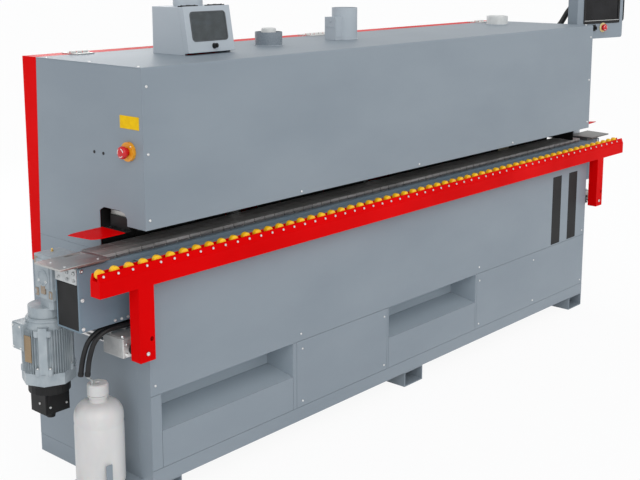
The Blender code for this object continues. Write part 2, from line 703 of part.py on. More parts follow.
def build_rear_doors():
    """Two red doors behind the hood, each hung on two hinges at its top edge."""
    middle = (HINGE_XS[1] + HINGE_XS[2]) / 2
    axis = (HOOD_DEPTH, HOOD_TOP + HINGE_RADIUS + 0.0005)
    outer = [(HOOD_DEPTH + GAP, HOOD_TOP), (CABINET_DEPTH, HOOD_TOP)]
    outer += [(CABINET_DEPTH, DOOR_BOTTOM), (DOOR_FOOT_Y + GAP, DOOR_BOTTOM)]
    inner = [(HOOD_DEPTH - 0.05, HOOD_TOP - SHEET), (CABINET_DEPTH - SHEET, HOOD_TOP - SHEET)]
    inner += [(CABINET_DEPTH - SHEET, DOOR_BOTTOM + SHEET), (DOOR_FOOT_Y - 0.05, DOOR_BOTTOM + SHEET)]
    for side, start, end, hinges in (
        ("left", 0, middle - 0.001, HINGE_XS[:2]),
        ("right", middle + 0.001, LENGTH, HINGE_XS[2:]),
    ):
        door = prism("rear_door_" + side, outer, "X", start, end, red())
        cut(door, prism("hollow", inner, "X", start + SHEET, end - SHEET, red()))
        for x in hinges:
            knuckle = rod(
                "knuckle", "X", axis, x - HINGE_LENGTH / 2, x + HINGE_LENGTH / 2, HINGE_RADIUS, red(), 12
            )
            low = (x - HINGE_LENGTH / 2, axis[0], HOOD_TOP - 0.001)
            leaf = block("leaf", low, (x + HINGE_LENGTH / 2, axis[0] + 0.045, HOOD_TOP + 0.003), red())
            join(door, join(leaf, knuckle))
        hang(door, joint_axis(f"rear_door_{side}_axis", ((start + end) / 2, *axis)))


def build_view_box():
    """The viewing box on the hood: body and pipe, and a leaning door with a window and a turn knob."""
    base = HOOD_TOP + GAP
    top = base + VIEW_HEIGHT
    back = VIEW_REAR
    front = VIEW_FRONT + VIEW_DOOR_DEPTH + GAP
    x0 = VIEW_X
    x1 = VIEW_X + VIEW_WIDTH
    side = [(front, base), (back, base), (back, top), (front + VIEW_LEAN, top)]
    body = prism("view_box", side, "X", x0, x1, grey())
    lean = VIEW_LEAN / VIEW_HEIGHT
    inner = [
        (front - 0.05, base - 0.01),
        (back - SHEET, base - 0.01),
        (back - SHEET, top - SHEET),
        (front - 0.05 + VIEW_LEAN - lean * SHEET, top - SHEET),
    ]
    cut(body, prism("hollow", inner, "X", x0 + SHEET, x1 - SHEET, grey()))
    pipe_centre = ((x0 + x1) / 2, back - PIPE_RADIUS - 0.012)
    join(body, rod("pipe", "Z", pipe_centre, top - 0.001, top + PIPE_HEIGHT, PIPE_RADIUS, grey(), 32))
    bore = PIPE_RADIUS - PIPE_WALL
    cut(body, rod("bore", "Z", pipe_centre, top - 0.02, top + PIPE_HEIGHT + 0.01, bore, grey(), 32))
    build_view_door(x0, x1, front - GAP + VIEW_LEAN, top, lean)


def build_view_door(x0, x1, rear_top, top, lean):
    """The door is drawn in its own plane: x across, y inwards, z up the slope from the hinge."""
    tilt = math.atan(lean)
    hinge = joint_axis("view_door_axis", (x0, rear_top, top), (-tilt, 0, 0))
    bpy.context.view_layer.update()
    place = hinge.matrix_world.copy()
    length = VIEW_HEIGHT / math.cos(tilt) - 0.004
    thick = VIEW_DOOR_DEPTH * math.cos(tilt) - GAP
    width = x1 - x0
    door = block("view_box_door", (0, -thick, -length), (width, 0, -0.001), grey())
    low = (SHEET, -thick + SHEET, -length + SHEET)
    cut(door, block("hollow", low, (width - SHEET, 0.01, -0.001 - SHEET), grey()))
    left = (width - WINDOW_WIDTH) / 2
    base = -length + 0.038
    corner = WINDOW_CORNER
    hole = rounded((left, base), (left + WINDOW_WIDTH, base + WINDOW_HEIGHT), corner)
    cut(door, prism("hole", hole, "Y", -thick - 0.01, -thick + 0.01, grey()))
    pane_low = (left + GAP, base + GAP)
    pane_high = (left + WINDOW_WIDTH - GAP, base + WINDOW_HEIGHT - GAP)
    glass = paint("dark_glass", (0.05, 0.06, 0.07), 0.1)
    pane = prism("view_box_window", rounded(pane_low, pane_high, corner), "Y", -thick, -thick + SHEET, glass)
    centre = (width / 2 + 0.012, -length + 0.019)
    knob = rod("view_box_knob", "Y", centre, -thick - 0.014, -thick - GAP, 0.008, black(), 16)
    low = (centre[0] - 0.002, -thick - 0.018, centre[1] - 0.007)
    high = (centre[0] + 0.002, -thick - 0.012, centre[1] + 0.007)
    join(knob, block("grip", low, high, black()))
    for obj in (door, pane, knob):
        obj.matrix_world = place @ obj.matrix_world
        hang(obj, hinge)
    turn = joint_axis("view_knob_axis", place @ Vector((centre[0], -thick, centre[1])), (-tilt, 0, 0), hinge)
    hang(knob, turn)


def build_ports():
    base = HOOD_TOP + GAP
    short_top = HOOD_TOP + SHORT_PORT_HEIGHT
    short = rod("short_port", "Z", SHORT_PORT, base, short_top, PIPE_RADIUS, grey(), 32)
    bore = PIPE_RADIUS - PIPE_WALL
    cut(short, rod("bore", "Z", SHORT_PORT, HOOD_TOP - 0.01, HOOD_TOP + 0.2, bore, grey(), 32))
    rod("short_port_plug", "Z", SHORT_PORT, base, short_top + 0.014, PIPE_RADIUS * 0.54, white())
    tall_top = HOOD_TOP + TALL_PORT_HEIGHT
    tall = rod("tall_port", "Z", TALL_PORT, base, tall_top, PIPE_RADIUS, grey(), 32)
    x, y = TALL_PORT
    low = (x - PIPE_RADIUS - 0.034, y - 0.026, base)
    join(tall, block("gate", low, (x - PIPE_RADIUS + 0.020, y + 0.030, HOOD_TOP + 0.090), grey()))
    cut(tall, rod("bore", "Z", TALL_PORT, HOOD_TOP - 0.01, HOOD_TOP + 0.2, bore, grey(), 32))
    centre = (LENGTH - RIGHT_PORT_INSET, RIGHT_PORT_Y)
    rod("right_port", "Z", centre, base, HOOD_TOP + RIGHT_PORT_HEIGHT, PIPE_RADIUS, white(), 32)


def build_panel():
    """The post beside the hood, and the touch panel that swivels on its pin."""
    x0 = LENGTH + POST_REACH
    post_low = (x0, POST_FRONT, POST_BOTTOM)
    post = block("control_post", post_low, (x0 + POST_SIDE, POST_FRONT + POST_SIDE, POST_TOP), grey())
    for z in (0.600, 0.740):
        low = (LENGTH + GAP, POST_FRONT + 0.005, z)
        join(post, block("arm", low, (x0 + 0.001, POST_FRONT + 0.045, z + 0.040), grey()))
    pin = (LENGTH + PIN_REACH, PIN_Y)
    low = (pin[0] - 0.012, pin[1] - 0.012, PIN_HEIGHT - 0.020)
    join(
        post,
        block("bracket", low, (x0 + 0.020, POST_FRONT + 0.001, PIN_HEIGHT + 0.020), grey()),
        rod("pin", "Z", pin, PIN_HEIGHT - 0.045, PIN_HEIGHT + 0.045, 0.006, grey(), 16),
    )
    turn = joint_axis("panel_axis", (*pin, PIN_HEIGHT), (0, 0, PANEL_TURN))
    bpy.context.view_layer.update()
    place = Matrix.Translation((*pin, 0)) @ Matrix.Rotation(PANEL_TURN, 4, "Z")
    rear = PANEL_FRONT + PANEL_DEPTH
    right = PANEL_LEFT + PANEL_WIDTH
    outline = rounded((PANEL_LEFT, PANEL_BOTTOM), (right, PANEL_BOTTOM + PANEL_HEIGHT), 0.012)
    housing = prism("control_panel", outline, "Y", PANEL_FRONT, rear, grey())
    for z in (PIN_HEIGHT - 0.040, PIN_HEIGHT + 0.0203):
        lug = block("lug", (-0.012, rear - 0.001, z), (0.012, 0.012, z + 0.0197), grey())
        join(housing, lug)
    cut(housing, rod("bore", "Z", (0, 0), PIN_HEIGHT - 0.1, PIN_HEIGHT + 0.1, 0.006 + GAP, grey(), 16))
    seat = SHEET + GAP
    screen_right = SCREEN_LEFT + SCREEN_WIDTH
    screen_top = SCREEN_BOTTOM + SCREEN_HEIGHT
    low = (SCREEN_LEFT - GAP, PANEL_FRONT - 0.01, SCREEN_BOTTOM - GAP)
    cut(housing, block("seat", low, (screen_right + GAP, PANEL_FRONT + seat, screen_top + GAP), grey()))
    glass = paint("screen_glass", (0.02, 0.02, 0.022), 0.15)
    low = (SCREEN_LEFT, PANEL_FRONT, SCREEN_BOTTOM)
    screen = block("touch_screen", low, (screen_right, PANEL_FRONT + SHEET, screen_top), glass)
    button_z = PANEL_BOTTOM + 0.053
    socket = PANEL_STOP_RADIUS * STEM_SHARE + 0.0005
    depth = PANEL_FRONT + PANEL_STOP_TRAVEL + GAP
    cut(housing, rod("socket", "Y", (0.003, button_z), PANEL_FRONT - 0.01, depth, socket, grey(), 20))
    stop = mushroom("panel_stop_button", "Y", (0.003, button_z), PANEL_FRONT, -1, PANEL_STOP_RADIUS, 0.020)
    face = PANEL_FRONT - GAP
    knob = rod("panel_knob", "Y", (-0.066, button_z), face - 0.0157, face, 0.009, black(), 16)
    grip = (-0.068, PANEL_FRONT - 0.022, button_z - 0.008)
    join(knob, block("grip", grip, (-0.064, PANEL_FRONT - 0.014, button_z + 0.008), black()))
    handle = handle_of("panel_handle", right, (PANEL_FRONT + rear) / 2)
    for obj in (housing, screen, stop, knob, handle):
        obj.matrix_world = place @ obj.matrix_world
        hang(obj, turn)
    for name, obj, u in (("panel_stop_axis", stop, 0.003), ("panel_knob_axis", knob, -0.066)):
        centre = place @ Vector((u, PANEL_FRONT, button_z))
        hang(obj, joint_axis(name, centre, (0, 0, PANEL_TURN), turn))
    build_conduit(x0)


def mushroom(name, axis, centre, base, way, radius, height):
    """A stop button: stem and head, pointing from base the given way along the axis."""
    stem = sorted((base, base + way * height * 0.55))
    head = sorted((base + way * height * 0.45, base + way * height))
    button = rod(name, axis, centre, *stem, radius * STEM_SHARE, red(), 20)
    return smooth(join(button, rod("head", axis, centre, *head, radius, red(), 20)))


def handle_of(name, side, y):
    """A tube bent out of the panel's side and back, its bends as quarter circles."""
    low = PANEL_BOTTOM + 0.080
    high = PANEL_BOTTOM + PANEL_HEIGHT - 0.040
    bend = 0.012
    middle = side + HANDLE_REACH - bend
    points = [(side + GAP, y, low)]
    for i in range(5):
        angle = math.pi / 2 * i / 4
        points.append((middle + bend * math.sin(angle), y, low + bend - bend * math.cos(angle)))
    for i in range(5):
        angle = math.pi / 2 * i / 4
        points.append((middle + bend * math.cos(angle), y, high - bend + bend * math.sin(angle)))
    points.append((side + GAP, y, high))
    return tube(name, points, 0.005, black())


def build_conduit(post_x):
    """The cable conduit from the hood's end up to the post, level where it enters each."""
    straight = Vector((0.014, 0, 0))
    start = Vector((LENGTH + GAP, POST_FRONT + 0.012, HOOD_TOP - 0.020))
    end = Vector((post_x - GAP, POST_FRONT + 0.025, HOOD_TOP + 0.075))
    points = [start]
    count = 9
    for i in range(count):
        share = i / (count - 1)
        ease = (1 - math.cos(math.pi * share)) / 2
        place = (start + straight).lerp(end - straight, share)
        place.z = start.z + (end.z - start.z) * ease
        points.append(place)
    points.append(end)
    tube("panel_conduit", points, 0.012, paint("conduit_grey", (0.12, 0.13, 0.14), 0.6))


def build_emergency_stop():
    """The stop button on the hood's left end, in its yellow ring."""
    centre = (0.065, 1.141)
    orange = paint("ring_orange", (0.85, 0.33, 0.02), 0.4)
    ring = rod("stop_ring", "X", centre, -0.012, -GAP, 0.030, orange, 28)
    cut(ring, rod("bore", "X", centre, -0.03, 0.03, STOP_RADIUS * STEM_SHARE + 0.0005, red(), 20))
    button = mushroom("stop_button", "X", centre, -0.008, -1, STOP_RADIUS, 0.030)
    hang(button, joint_axis("stop_axis", (0, *centre)))


def build_bottle():
    """The bottle that catches the cleaning fluid's drips, on a shelf with a tongue in front of it."""
    x = -BOTTLE_RADIUS - BOTTLE_CLEARANCE
    y = BOTTLE_Y
    base = BOTTLE_BOTTOM + GAP
    top = base + BOTTLE_HEIGHT
    r = BOTTLE_RADIUS
    neck = 0.031
    profile = [(0, 0), (r - 0.018, 0), (r - 0.005, 0.005), (r, 0.018), (r, 0.217)]
    for i in range(1, 6):
        angle = math.pi / 2 * i / 5
        profile.append((neck + (r - neck) * math.cos(angle), 0.217 + 0.055 * math.sin(angle)))
    profile += [(neck, BOTTLE_HEIGHT - 0.052), (neck + 0.003, BOTTLE_HEIGHT - 0.050)]
    profile += [(neck + 0.003, BOTTLE_HEIGHT - 0.004), (neck, BOTTLE_HEIGHT), (0, BOTTLE_HEIGHT)]
    bottle = turned("bottle", profile, (x, y, base), white())
    cut(bottle, rod("hole", "Z", (x, y), top - 0.030, top + 0.010, 0.008, white(), 12))
    left = x - r - 0.006
    low = (left, y - r - 0.004, base - GAP - SHEET)
    shelf = block("bottle_shelf", low, (-GAP, y + r, base - GAP), grey())
    tongue = (x - 0.040, y - r - 0.004 - SHEET, base - GAP - SHEET)
    join(shelf, block("tongue", tongue, (x - 0.018, y - r - 0.003, base + 0.095), grey()))
    join(shelf, block("lip", (-SHEET - GAP, y - r, base - 0.03), (-GAP, y + r, base - GAP), grey()))


def turned(name, profile, place, material, sides=28):
    """A solid turned about Z from (radius, height) pairs that start and end on the axis."""
    build = bmesh.new()
    rings = []
    for radius, height in profile:
        if radius == 0:
            rings.append([build.verts.new((0, 0, height))])
        else:
            rings.append([build.verts.new((u, v, height)) for u, v in circle((0, 0), radius, sides)])
    for low, high in zip(rings, rings[1:]):
        for i in range(sides):
            j = (i + 1) % sides
            if len(low) == 1:
                build.faces.new((low[0], high[j], high[i]))
            elif len(high) == 1:
                build.faces.new((low[i], low[j], high[0]))
            else:
                build.faces.new((low[i], low[j], high[j], high[i]))
    bmesh.ops.recalc_face_normals(build, faces=build.faces)
    bmesh.ops.translate(build, verts=build.verts, vec=place)
    mesh = bpy.data.meshes.new(name)
    build.to_mesh(mesh)
    build.free()
    return smooth(link(name, mesh, material))


def build_hoses():
    """Two black hoses from the cabinet's end, over the bearing block and down beside the bottle."""
    routes = {
        "hose_front": [
            (-0.001, 0.076, 0.594),
            (-0.060, 0.078, 0.595),
            (-0.104, 0.084, 0.590),
            (-0.134, 0.096, 0.562),
            (-0.147, 0.108, 0.510),
            (-0.150, 0.118, 0.452),
        ],
        "hose_rear": [
            (-0.001, 0.096, 0.594),
            (-0.062, 0.098, 0.595),
            (-0.110, 0.104, 0.590),
            (-0.143, 0.115, 0.561),
            (-0.158, 0.126, 0.510),
            (-0.162, 0.137, 0.450),
        ],
    }
    for name, route in routes.items():
        tube(name, flowing(route, 14), HOSE_RADIUS, black())


def build_pressure_beam():
    """The beam that presses the panels on the chain, its rollers, and the red guard at each end."""
    y0 = PRESS_FRONT
    y1 = PRESS_REAR
    low = TABLE_HEIGHT + PRESS_CLEARANCE
    radius = 0.018
    axle_z = low + radius
    beam = block("pressure_beam", (0.030, y0, axle_z), (LENGTH - 0.030, y1, axle_z + 0.045), steel())
    count = int((LENGTH - 0.12) / 0.085)
    bumps = [(0.045, axle_z + 0.010)]
    for i in range(count):
        x = 0.075 + i * 0.085
        for angle in range(180, -1, -30):
            turn = math.radians(angle)
            bumps.append((x + radius * math.cos(turn), axle_z - radius * math.sin(turn)))
    bumps.append((bumps[-1][0] + 0.010, axle_z + 0.010))
    join(beam, prism("rollers", bumps, "Y", y0 + 0.012, y1 - 0.012, rubber()))
    slide = joint_axis("pressure_axis", (LENGTH / 2, (y0 + y1) / 2, axle_z))
    hang(beam, slide)
    shape = [(0.028, y0 - 0.006), (0.028, y1 + 0.008), (-0.100, y1 + 0.008)]
    shape += [(-0.136, y1), (-0.120, y0 + 0.010), (-0.085, y0 - 0.006)]
    guard = prism("infeed_guard", shape, "Z", axle_z - 0.012, axle_z - 0.009, red())
    join(guard, block("tab", (0.020, y0, axle_z - 0.011), (0.0297, y1, axle_z + 0.030), red()))
    hang(guard, slide)
    end = LENGTH - 0.0297
    shape = [(end, y0 - 0.006), (LENGTH + 0.150, y0 - 0.020), (LENGTH + 0.265, y0 - 0.007)]
    shape += [(LENGTH + 0.150, y1 + 0.008), (end, y1 + 0.008)]
    guard = prism("outfeed_guard", shape, "Z", axle_z, axle_z + SHEET, red())
    join(guard, block("tab", (end, y0, axle_z + 0.001), (end + 0.010, y1, axle_z + 0.030), red()))
    hang(guard, slide)


def build_units():
    """The units on the bed: glue pot and roller, trimming motor and cutter, buffing motor and wheel."""
    bed = BED_BOTTOM + BED_THICKNESS + GAP
    y0 = UNIT_FRONT + 0.045
    y1 = y0 + 0.150
    pot_metal = paint("pot_metal", (0.5, 0.5, 0.5), 0.5, 1.0)
    block("glue_pot", (0.400, y0, bed), (0.560, y1, TABLE_HEIGHT + 0.060), pot_metal)
    place = (0.620, UNIT_FRONT + 0.028)
    roller = rod("glue_roller", "Z", place, bed, TABLE_HEIGHT + 0.050, 0.026, steel(), 20)
    hang(roller, joint_axis("glue_roller_axis", (*place, bed)))
    for name, x, tool, radius, material in (
        ("trim_motor", 1.350, "trim_cutter", 0.030, steel()),
        ("buffing_motor", 2.350, "buffing_wheel", 0.060, paint("cotton", (0.75, 0.70, 0.55), 0.9)),
    ):
        block(name, (x, y0 + 0.040, bed), (x + 0.110, y1 + 0.040, TABLE_HEIGHT + 0.090), motor_grey())
        axle = (x + 0.055, TABLE_HEIGHT + 0.020)
        wheel = rod(tool, "Y", axle, UNIT_FRONT + 0.015, UNIT_FRONT + 0.045, radius, material, 28)
        shaft = rod("shaft", "Y", axle, UNIT_FRONT + 0.040, y0 + 0.040 - GAP, 0.008, material, 12)
        hang(smooth(join(wheel, shaft)), joint_axis(tool + "_axis", (axle[0], y0, axle[1])))


def stand_on_origin():
    """Hangs everything on one empty and puts the origin on the floor under the middle."""
    bpy.context.view_layer.update()
    graph = bpy.context.evaluated_depsgraph_get()
    corners = []
    for obj in bpy.data.objects:
        if obj.type in ("MESH", "CURVE") and not obj.name.startswith("hose_"):
            mesh = obj.evaluated_get(graph).to_mesh()
            corners += [obj.matrix_world @ vertex.co for vertex in mesh.vertices]
            obj.evaluated_get(graph).to_mesh_clear()
    low = Vector([min(corner[i] for corner in corners) for i in range(3)])
    high = Vector([max(corner[i] for corner in corners) for i in range(3)])
    root = joint_axis("machine", (0, 0, 0))
    for obj in list(bpy.data.objects):
        if obj is not root and obj.parent is None:
            hang(obj, root)
    root.location = (-(low.x + high.x) / 2, -(low.y + high.y) / 2, -low.z)


clear_scene()
build_cabinet()
build_conveyor()
build_drive()
build_support()
build_hood()
build_rear_doors()
build_view_box()
build_ports()
build_panel()
build_emergency_stop()
build_bottle()
build_hoses()
build_pressure_beam()
build_units()
stand_on_origin()
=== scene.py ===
import math

import bmesh
import bpy
from mathutils import Matrix, Vector


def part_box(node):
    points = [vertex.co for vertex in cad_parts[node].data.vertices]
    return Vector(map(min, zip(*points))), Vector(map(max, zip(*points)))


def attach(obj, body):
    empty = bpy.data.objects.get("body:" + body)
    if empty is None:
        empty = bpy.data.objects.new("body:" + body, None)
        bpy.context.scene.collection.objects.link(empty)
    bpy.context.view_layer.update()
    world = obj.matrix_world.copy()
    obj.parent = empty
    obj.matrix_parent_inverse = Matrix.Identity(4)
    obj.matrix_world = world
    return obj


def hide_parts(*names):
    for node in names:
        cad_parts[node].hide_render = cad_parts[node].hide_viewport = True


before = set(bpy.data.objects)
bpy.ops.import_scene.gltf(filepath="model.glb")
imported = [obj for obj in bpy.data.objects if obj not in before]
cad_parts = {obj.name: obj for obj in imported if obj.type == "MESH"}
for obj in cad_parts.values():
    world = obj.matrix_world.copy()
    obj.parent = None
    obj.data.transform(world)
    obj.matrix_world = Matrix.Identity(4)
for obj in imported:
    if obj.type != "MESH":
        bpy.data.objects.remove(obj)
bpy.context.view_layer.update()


# -- Where the machine stands --
# Every place is measured from the cabinet's left front corner at floor level: x along the feed,
# y back from the operator's side, z up. The cabinet's length comes from the hood's folded shell.
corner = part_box("foot_left")[0]
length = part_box("hood_shell")[1].x - corner.x
table_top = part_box("feed_chain")[1].z


def at(x, y, z):
    return corner + Vector((x, y, z))


# -- Camera --
# The operator's view from the infeed end, a little above the hood, with a portrait lens. The lens
# looks down by ten degrees, and its shift sets the machine in the middle of the frame.
eye = bpy.data.objects.new("camera", bpy.data.cameras.new("camera"))
bpy.context.scene.collection.objects.link(eye)
bpy.context.scene.camera = eye
eye.data.lens = 61.82
eye.data.sensor_width = 36
eye.data.shift_y = -0.12
eye.data.clip_end = 200
eye.location = at(-2.07314, -2.5574, 1.7238)
eye.rotation_euler = (math.radians(90 - 10.643), 0, math.radians(-48.296))


# -- Studio --
# A pale seamless floor under a white cyclorama. One broad soft key over the operator's side
# models the sheet metal, two lamps fill the ends and back, and the room's light does the rest.
def node_maker(tree):
    """A function that adds one node with its settings and feeds, and gives its outputs."""

    def add(kind, feeds=None, **settings):
        node = tree.nodes.new(kind)
        for key, value in settings.items():
            setattr(node, key, value)
        for socket, source in (feeds or {}).items():
            if isinstance(source, bpy.types.NodeSocket):
                tree.links.new(source, node.inputs[socket])
            else:
                node.inputs[socket].default_value = source
        return node.outputs

    return add


def seen_directly(add):
    """1 for a ray from the lens, a mirror or a window, and 0 for the light that paints surfaces."""
    path = add("ShaderNodeLightPath")
    first = add(
        "ShaderNodeMath", {0: path["Is Camera Ray"], 1: path["Is Glossy Ray"]}, operation="MAXIMUM"
    )
    return add(
        "ShaderNodeMath", {0: first[0], 1: path["Is Transmission Ray"]}, operation="MAXIMUM"
    )[0]


room = bpy.data.worlds.new("room")
bpy.context.scene.world = room
room.use_nodes = True
room.node_tree.nodes.clear()
add = node_maker(room.node_tree)
room_light = add("ShaderNodeBackground", {"Color": (0.93, 0.96, 1.0, 1), "Strength": 0.6})
room_white = add("ShaderNodeBackground", {"Color": (1, 1, 1, 1), "Strength": 1.0})
room_mix = add("ShaderNodeMixShader", {0: seen_directly(add), 1: room_light[0], 2: room_white[0]})
add("ShaderNodeOutputWorld", {"Surface": room_mix[0]})

floor_finish = bpy.data.materials.new("studio_floor")
floor_finish.use_nodes = True
floor_finish.node_tree.nodes.clear()
add = node_maker(floor_finish.node_tree)
place = add("ShaderNodeTexCoord")["Object"]
mottle = add("ShaderNodeTexNoise", {"Vector": place, "Scale": 3.0, "Detail": 3.0})["Fac"]
tint = add(
    "ShaderNodeMix",
    {0: mottle, 6: (0.93, 0.93, 0.94, 1), 7: (0.96, 0.96, 0.96, 1)},
    data_type="RGBA",
)[2]
painted = add("ShaderNodeBsdfPrincipled", {"Base Color": tint, "Roughness": 0.8})
glow = add("ShaderNodeEmission", {"Color": (1, 1, 1, 1), "Strength": 1.0})
share = add("ShaderNodeMath", {0: seen_directly(add), 1: 0.92}, operation="MULTIPLY")[0]
floor_mix = add("ShaderNodeMixShader", {0: share, 1: painted[0], 2: glow[0]})
add("ShaderNodeOutputMaterial", {"Surface": floor_mix[0]})
floor_mesh = bpy.data.meshes.new("studio_floor")
reach = 40
corners = [(-reach, -reach, 0), (reach, -reach, 0), (reach, reach, 0), (-reach, reach, 0)]
floor_mesh.from_pydata(corners, [], [(0, 1, 2, 3)])
floor_mesh.materials.append(floor_finish)
floor = bpy.data.objects.new("studio_floor", floor_mesh)
bpy.context.scene.collection.objects.link(floor)
floor.location.z = corner.z - 0.001


def lamp(name, place, aim, size, watts, colour):
    data = bpy.data.lights.new(name, "AREA")
    data.shape = "RECTANGLE"
    data.size = size[0]
    data.size_y = size[1]
    data.energy = watts
    data.color = colour
    made = bpy.data.objects.new(name, data)
    bpy.context.scene.collection.objects.link(made)
    made.location = at(*place)
    made.rotation_euler = (at(*aim) - at(*place)).to_track_quat("-Z", "Y").to_euler()


lamp("end_lamp", (-4.8, -0.6, 2.0), (0, 0.2, 0.8), (2.5, 2.0), 22, (0.97, 0.99, 1.0))
lamp("back_lamp", (2.4, 4.8, 2.8), (length / 2, 0.5, 0.9), (3.5, 2.0), 48, (1.0, 1.0, 1.0))
key = bpy.data.objects.new("key_lamp", bpy.data.lights.new("key_lamp", "SUN"))
bpy.context.scene.collection.objects.link(key)
key.data.energy = 1.2
key.data.angle = math.radians(50)
key.data.color = (1.0, 0.99, 0.97)
key.rotation_euler = Vector((0.4, 0.75, -0.6)).to_track_quat("-Z", "Y").to_euler()
bpy.context.scene.view_settings.view_transform = "Standard"


# -- Drain hoses --
# Two lengths of black PVC hose bring spent cleaning fluid from the gluing unit. They leave the
# cabinet's end over the bearing block, bend down under their own weight and end in push-on tips.
def finish_of(name, roughness, **constants):
    """A Principled finish: its tree's node adder and the shader, with constants on its sockets."""
    made = bpy.data.materials.new(name)
    made.use_nodes = True
    shader = made.node_tree.nodes["Principled BSDF"]
    shader.inputs["Roughness"].default_value = roughness
    for key, value in constants.items():
        shader.inputs[key.replace("_", " ")].default_value = value
    return made, node_maker(made.node_tree), shader


def blotched(add, place, colours, scale, detail=4.0, stretch=(1, 1, 1)):
    """A colour that drifts between two tones; stretch draws the blotches out along an axis."""
    moved = add("ShaderNodeMapping", {"Vector": place, "Scale": stretch})[0]
    cloud = add("ShaderNodeTexNoise", {"Vector": moved, "Scale": scale, "Detail": detail})["Fac"]
    spread = add("ShaderNodeMapRange", {"Value": cloud, "From Min": 0.35, "From Max": 0.65})[0]
    first, second = ((*colour, 1) for colour in colours)
    return add("ShaderNodeMix", {0: spread, 6: first, 7: second}, data_type="RGBA")[2], spread


def connect(made, shader, socket, source):
    made.node_tree.links.new(source, shader.inputs[socket])


def roughened(made, add, shader, share, low, high):
    value = add("ShaderNodeMapRange", {"Value": share, "To Min": low, "To Max": high})[0]
    connect(made, shader, "Roughness", value)


def dimpled(made, add, shader, height, strength, distance):
    bump = add("ShaderNodeBump", {"Height": height, "Strength": strength, "Distance": distance})[0]
    connect(made, shader, "Normal", bump)


def coated(name, colours, roughness, cloud, gloss, skin, **constants):
    """A finish whose tone drifts in clouds, under uneven gloss and a fine skin of bumps."""
    made, add, shader = finish_of(name, roughness, **constants)
    place = add("ShaderNodeTexCoord")["Object"]
    colour, spread = blotched(add, place, colours, *cloud)
    connect(made, shader, "Base Color", colour)
    roughened(made, add, shader, spread, roughness + gloss[0], roughness + gloss[1])
    scale, detail, strength, depth = skin
    bumps = add("ShaderNodeTexNoise", {"Vector": place, "Scale": scale, "Detail": detail})["Fac"]
    dimpled(made, add, shader, bumps, strength, depth)
    return made


def moulded(name, dark, light, roughness, scale=60.0, **constants):
    """Moulded or extruded plastic with a fine moulding grain."""
    grain = (900.0, 2.0, 0.25, 0.0002)
    return coated(name, (dark, light), roughness, (scale,), (-0.06, 0.08), grain, **constants)


def settle(obj, body, slot, *stands_for):
    """The piece rides on its body and stands for the CAD solids named; the slot is not used."""
    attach(obj, body)
    if stands_for:
        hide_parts(*stands_for)
    return obj


def smooth_route(points, count):
    """Points evenly along a Catmull-Rom curve through the given ones."""
    places = [Vector(point) for point in points]
    padded = [2 * places[0] - places[1], *places, 2 * places[-1] - places[-2]]
    fine = []
    for a, b, c, d in zip(padded, padded[1:], padded[2:], padded[3:]):
        for step in range(20):
            t = step / 20
            bend = (2 * a - 5 * b + 4 * c - d) * t * t + (3 * b - a - 3 * c + d) * t**3
            fine.append(0.5 * (2 * b + (c - a) * t + bend))
    fine.append(places[-1])
    gone = [0.0]
    for a, b in zip(fine, fine[1:]):
        gone.append(gone[-1] + (b - a).length)
    route = []
    for i in range(count):
        target = gone[-1] * i / (count - 1)
        k = max(j for j in range(len(fine) - 1) if gone[j] <= target + 1e-9)
        route.append(fine[k].lerp(fine[k + 1], (target - gone[k]) / (gone[k + 1] - gone[k])))
    return route


def bent_tube(name, points, radius, finish):
    """A round bar or hose along the points, as a curve with a round bevel."""
    curve = bpy.data.curves.new(name, "CURVE")
    curve.dimensions = "3D"
    curve.bevel_depth = radius
    curve.bevel_resolution = 5
    curve.use_fill_caps = True
    spline = curve.splines.new("POLY")
    spline.points.add(len(points) - 1)
    for knot, point in zip(spline.points, points):
        knot.co = (*point, 1)
    curve.materials.append(finish)
    obj = bpy.data.objects.new(name, curve)
    bpy.context.scene.collection.objects.link(obj)
    return obj


def spin_into(build, profile, place, direction, sides=32):
    """Adds a solid turned about the direction, from (radius, height) pairs in order."""
    way = Vector(direction).to_track_quat("Z", "Y").to_matrix().to_4x4()
    matrix = Matrix.Translation(place) @ way
    rings = []
    for radius, height in profile:
        if radius == 0:
            rings.append([build.verts.new(matrix @ Vector((0, 0, height)))])
            continue
        angles = [2 * math.pi * i / sides for i in range(sides)]
        spots = [Vector((radius * math.cos(a), radius * math.sin(a), height)) for a in angles]
        rings.append([build.verts.new(matrix @ spot) for spot in spots])
    for low, high in zip(rings, rings[1:]):
        for i in range(sides):
            j = (i + 1) % sides
            if len(low) == 1:
                build.faces.new((low[0], high[j], high[i]))
            elif len(high) == 1:
                build.faces.new((low[i], low[j], high[0]))
            else:
                build.faces.new((low[i], low[j], high[j], high[i]))


def rod(radius, height):
    """The profile of a plain round bar, for turning."""
    return [(0, 0), (radius, 0), (radius, height), (0, height)]


def bridge(build, rings):
    """Joins each ring of points to the next one, and the last to the first."""
    for first, second in zip(rings, [*rings[1:], rings[0]]):
        for i in range(len(first)):
            j = (i + 1) % len(first)
            build.faces.new((first[i], first[j], second[j], second[i]))


def turned(name, profile, place, direction, finish, sides=32):
    build = bmesh.new()
    spin_into(build, profile, place, direction, sides)
    bmesh.ops.recalc_face_normals(build, faces=build.faces)
    return made_mesh(name, build, finish)


crease_angle = math.radians(34)


def creased(mesh):
    mesh.shade_smooth()
    mesh.set_sharp_from_angle(angle=crease_angle)


def rounded_edges(obj, width):
    """A small round on every edge sharper than the crease angle."""
    edge = obj.modifiers.new("broken_edges", "BEVEL")
    edge.width = width
    edge.segments = 2
    edge.limit_method = "ANGLE"
    edge.angle_limit = crease_angle
    return edge


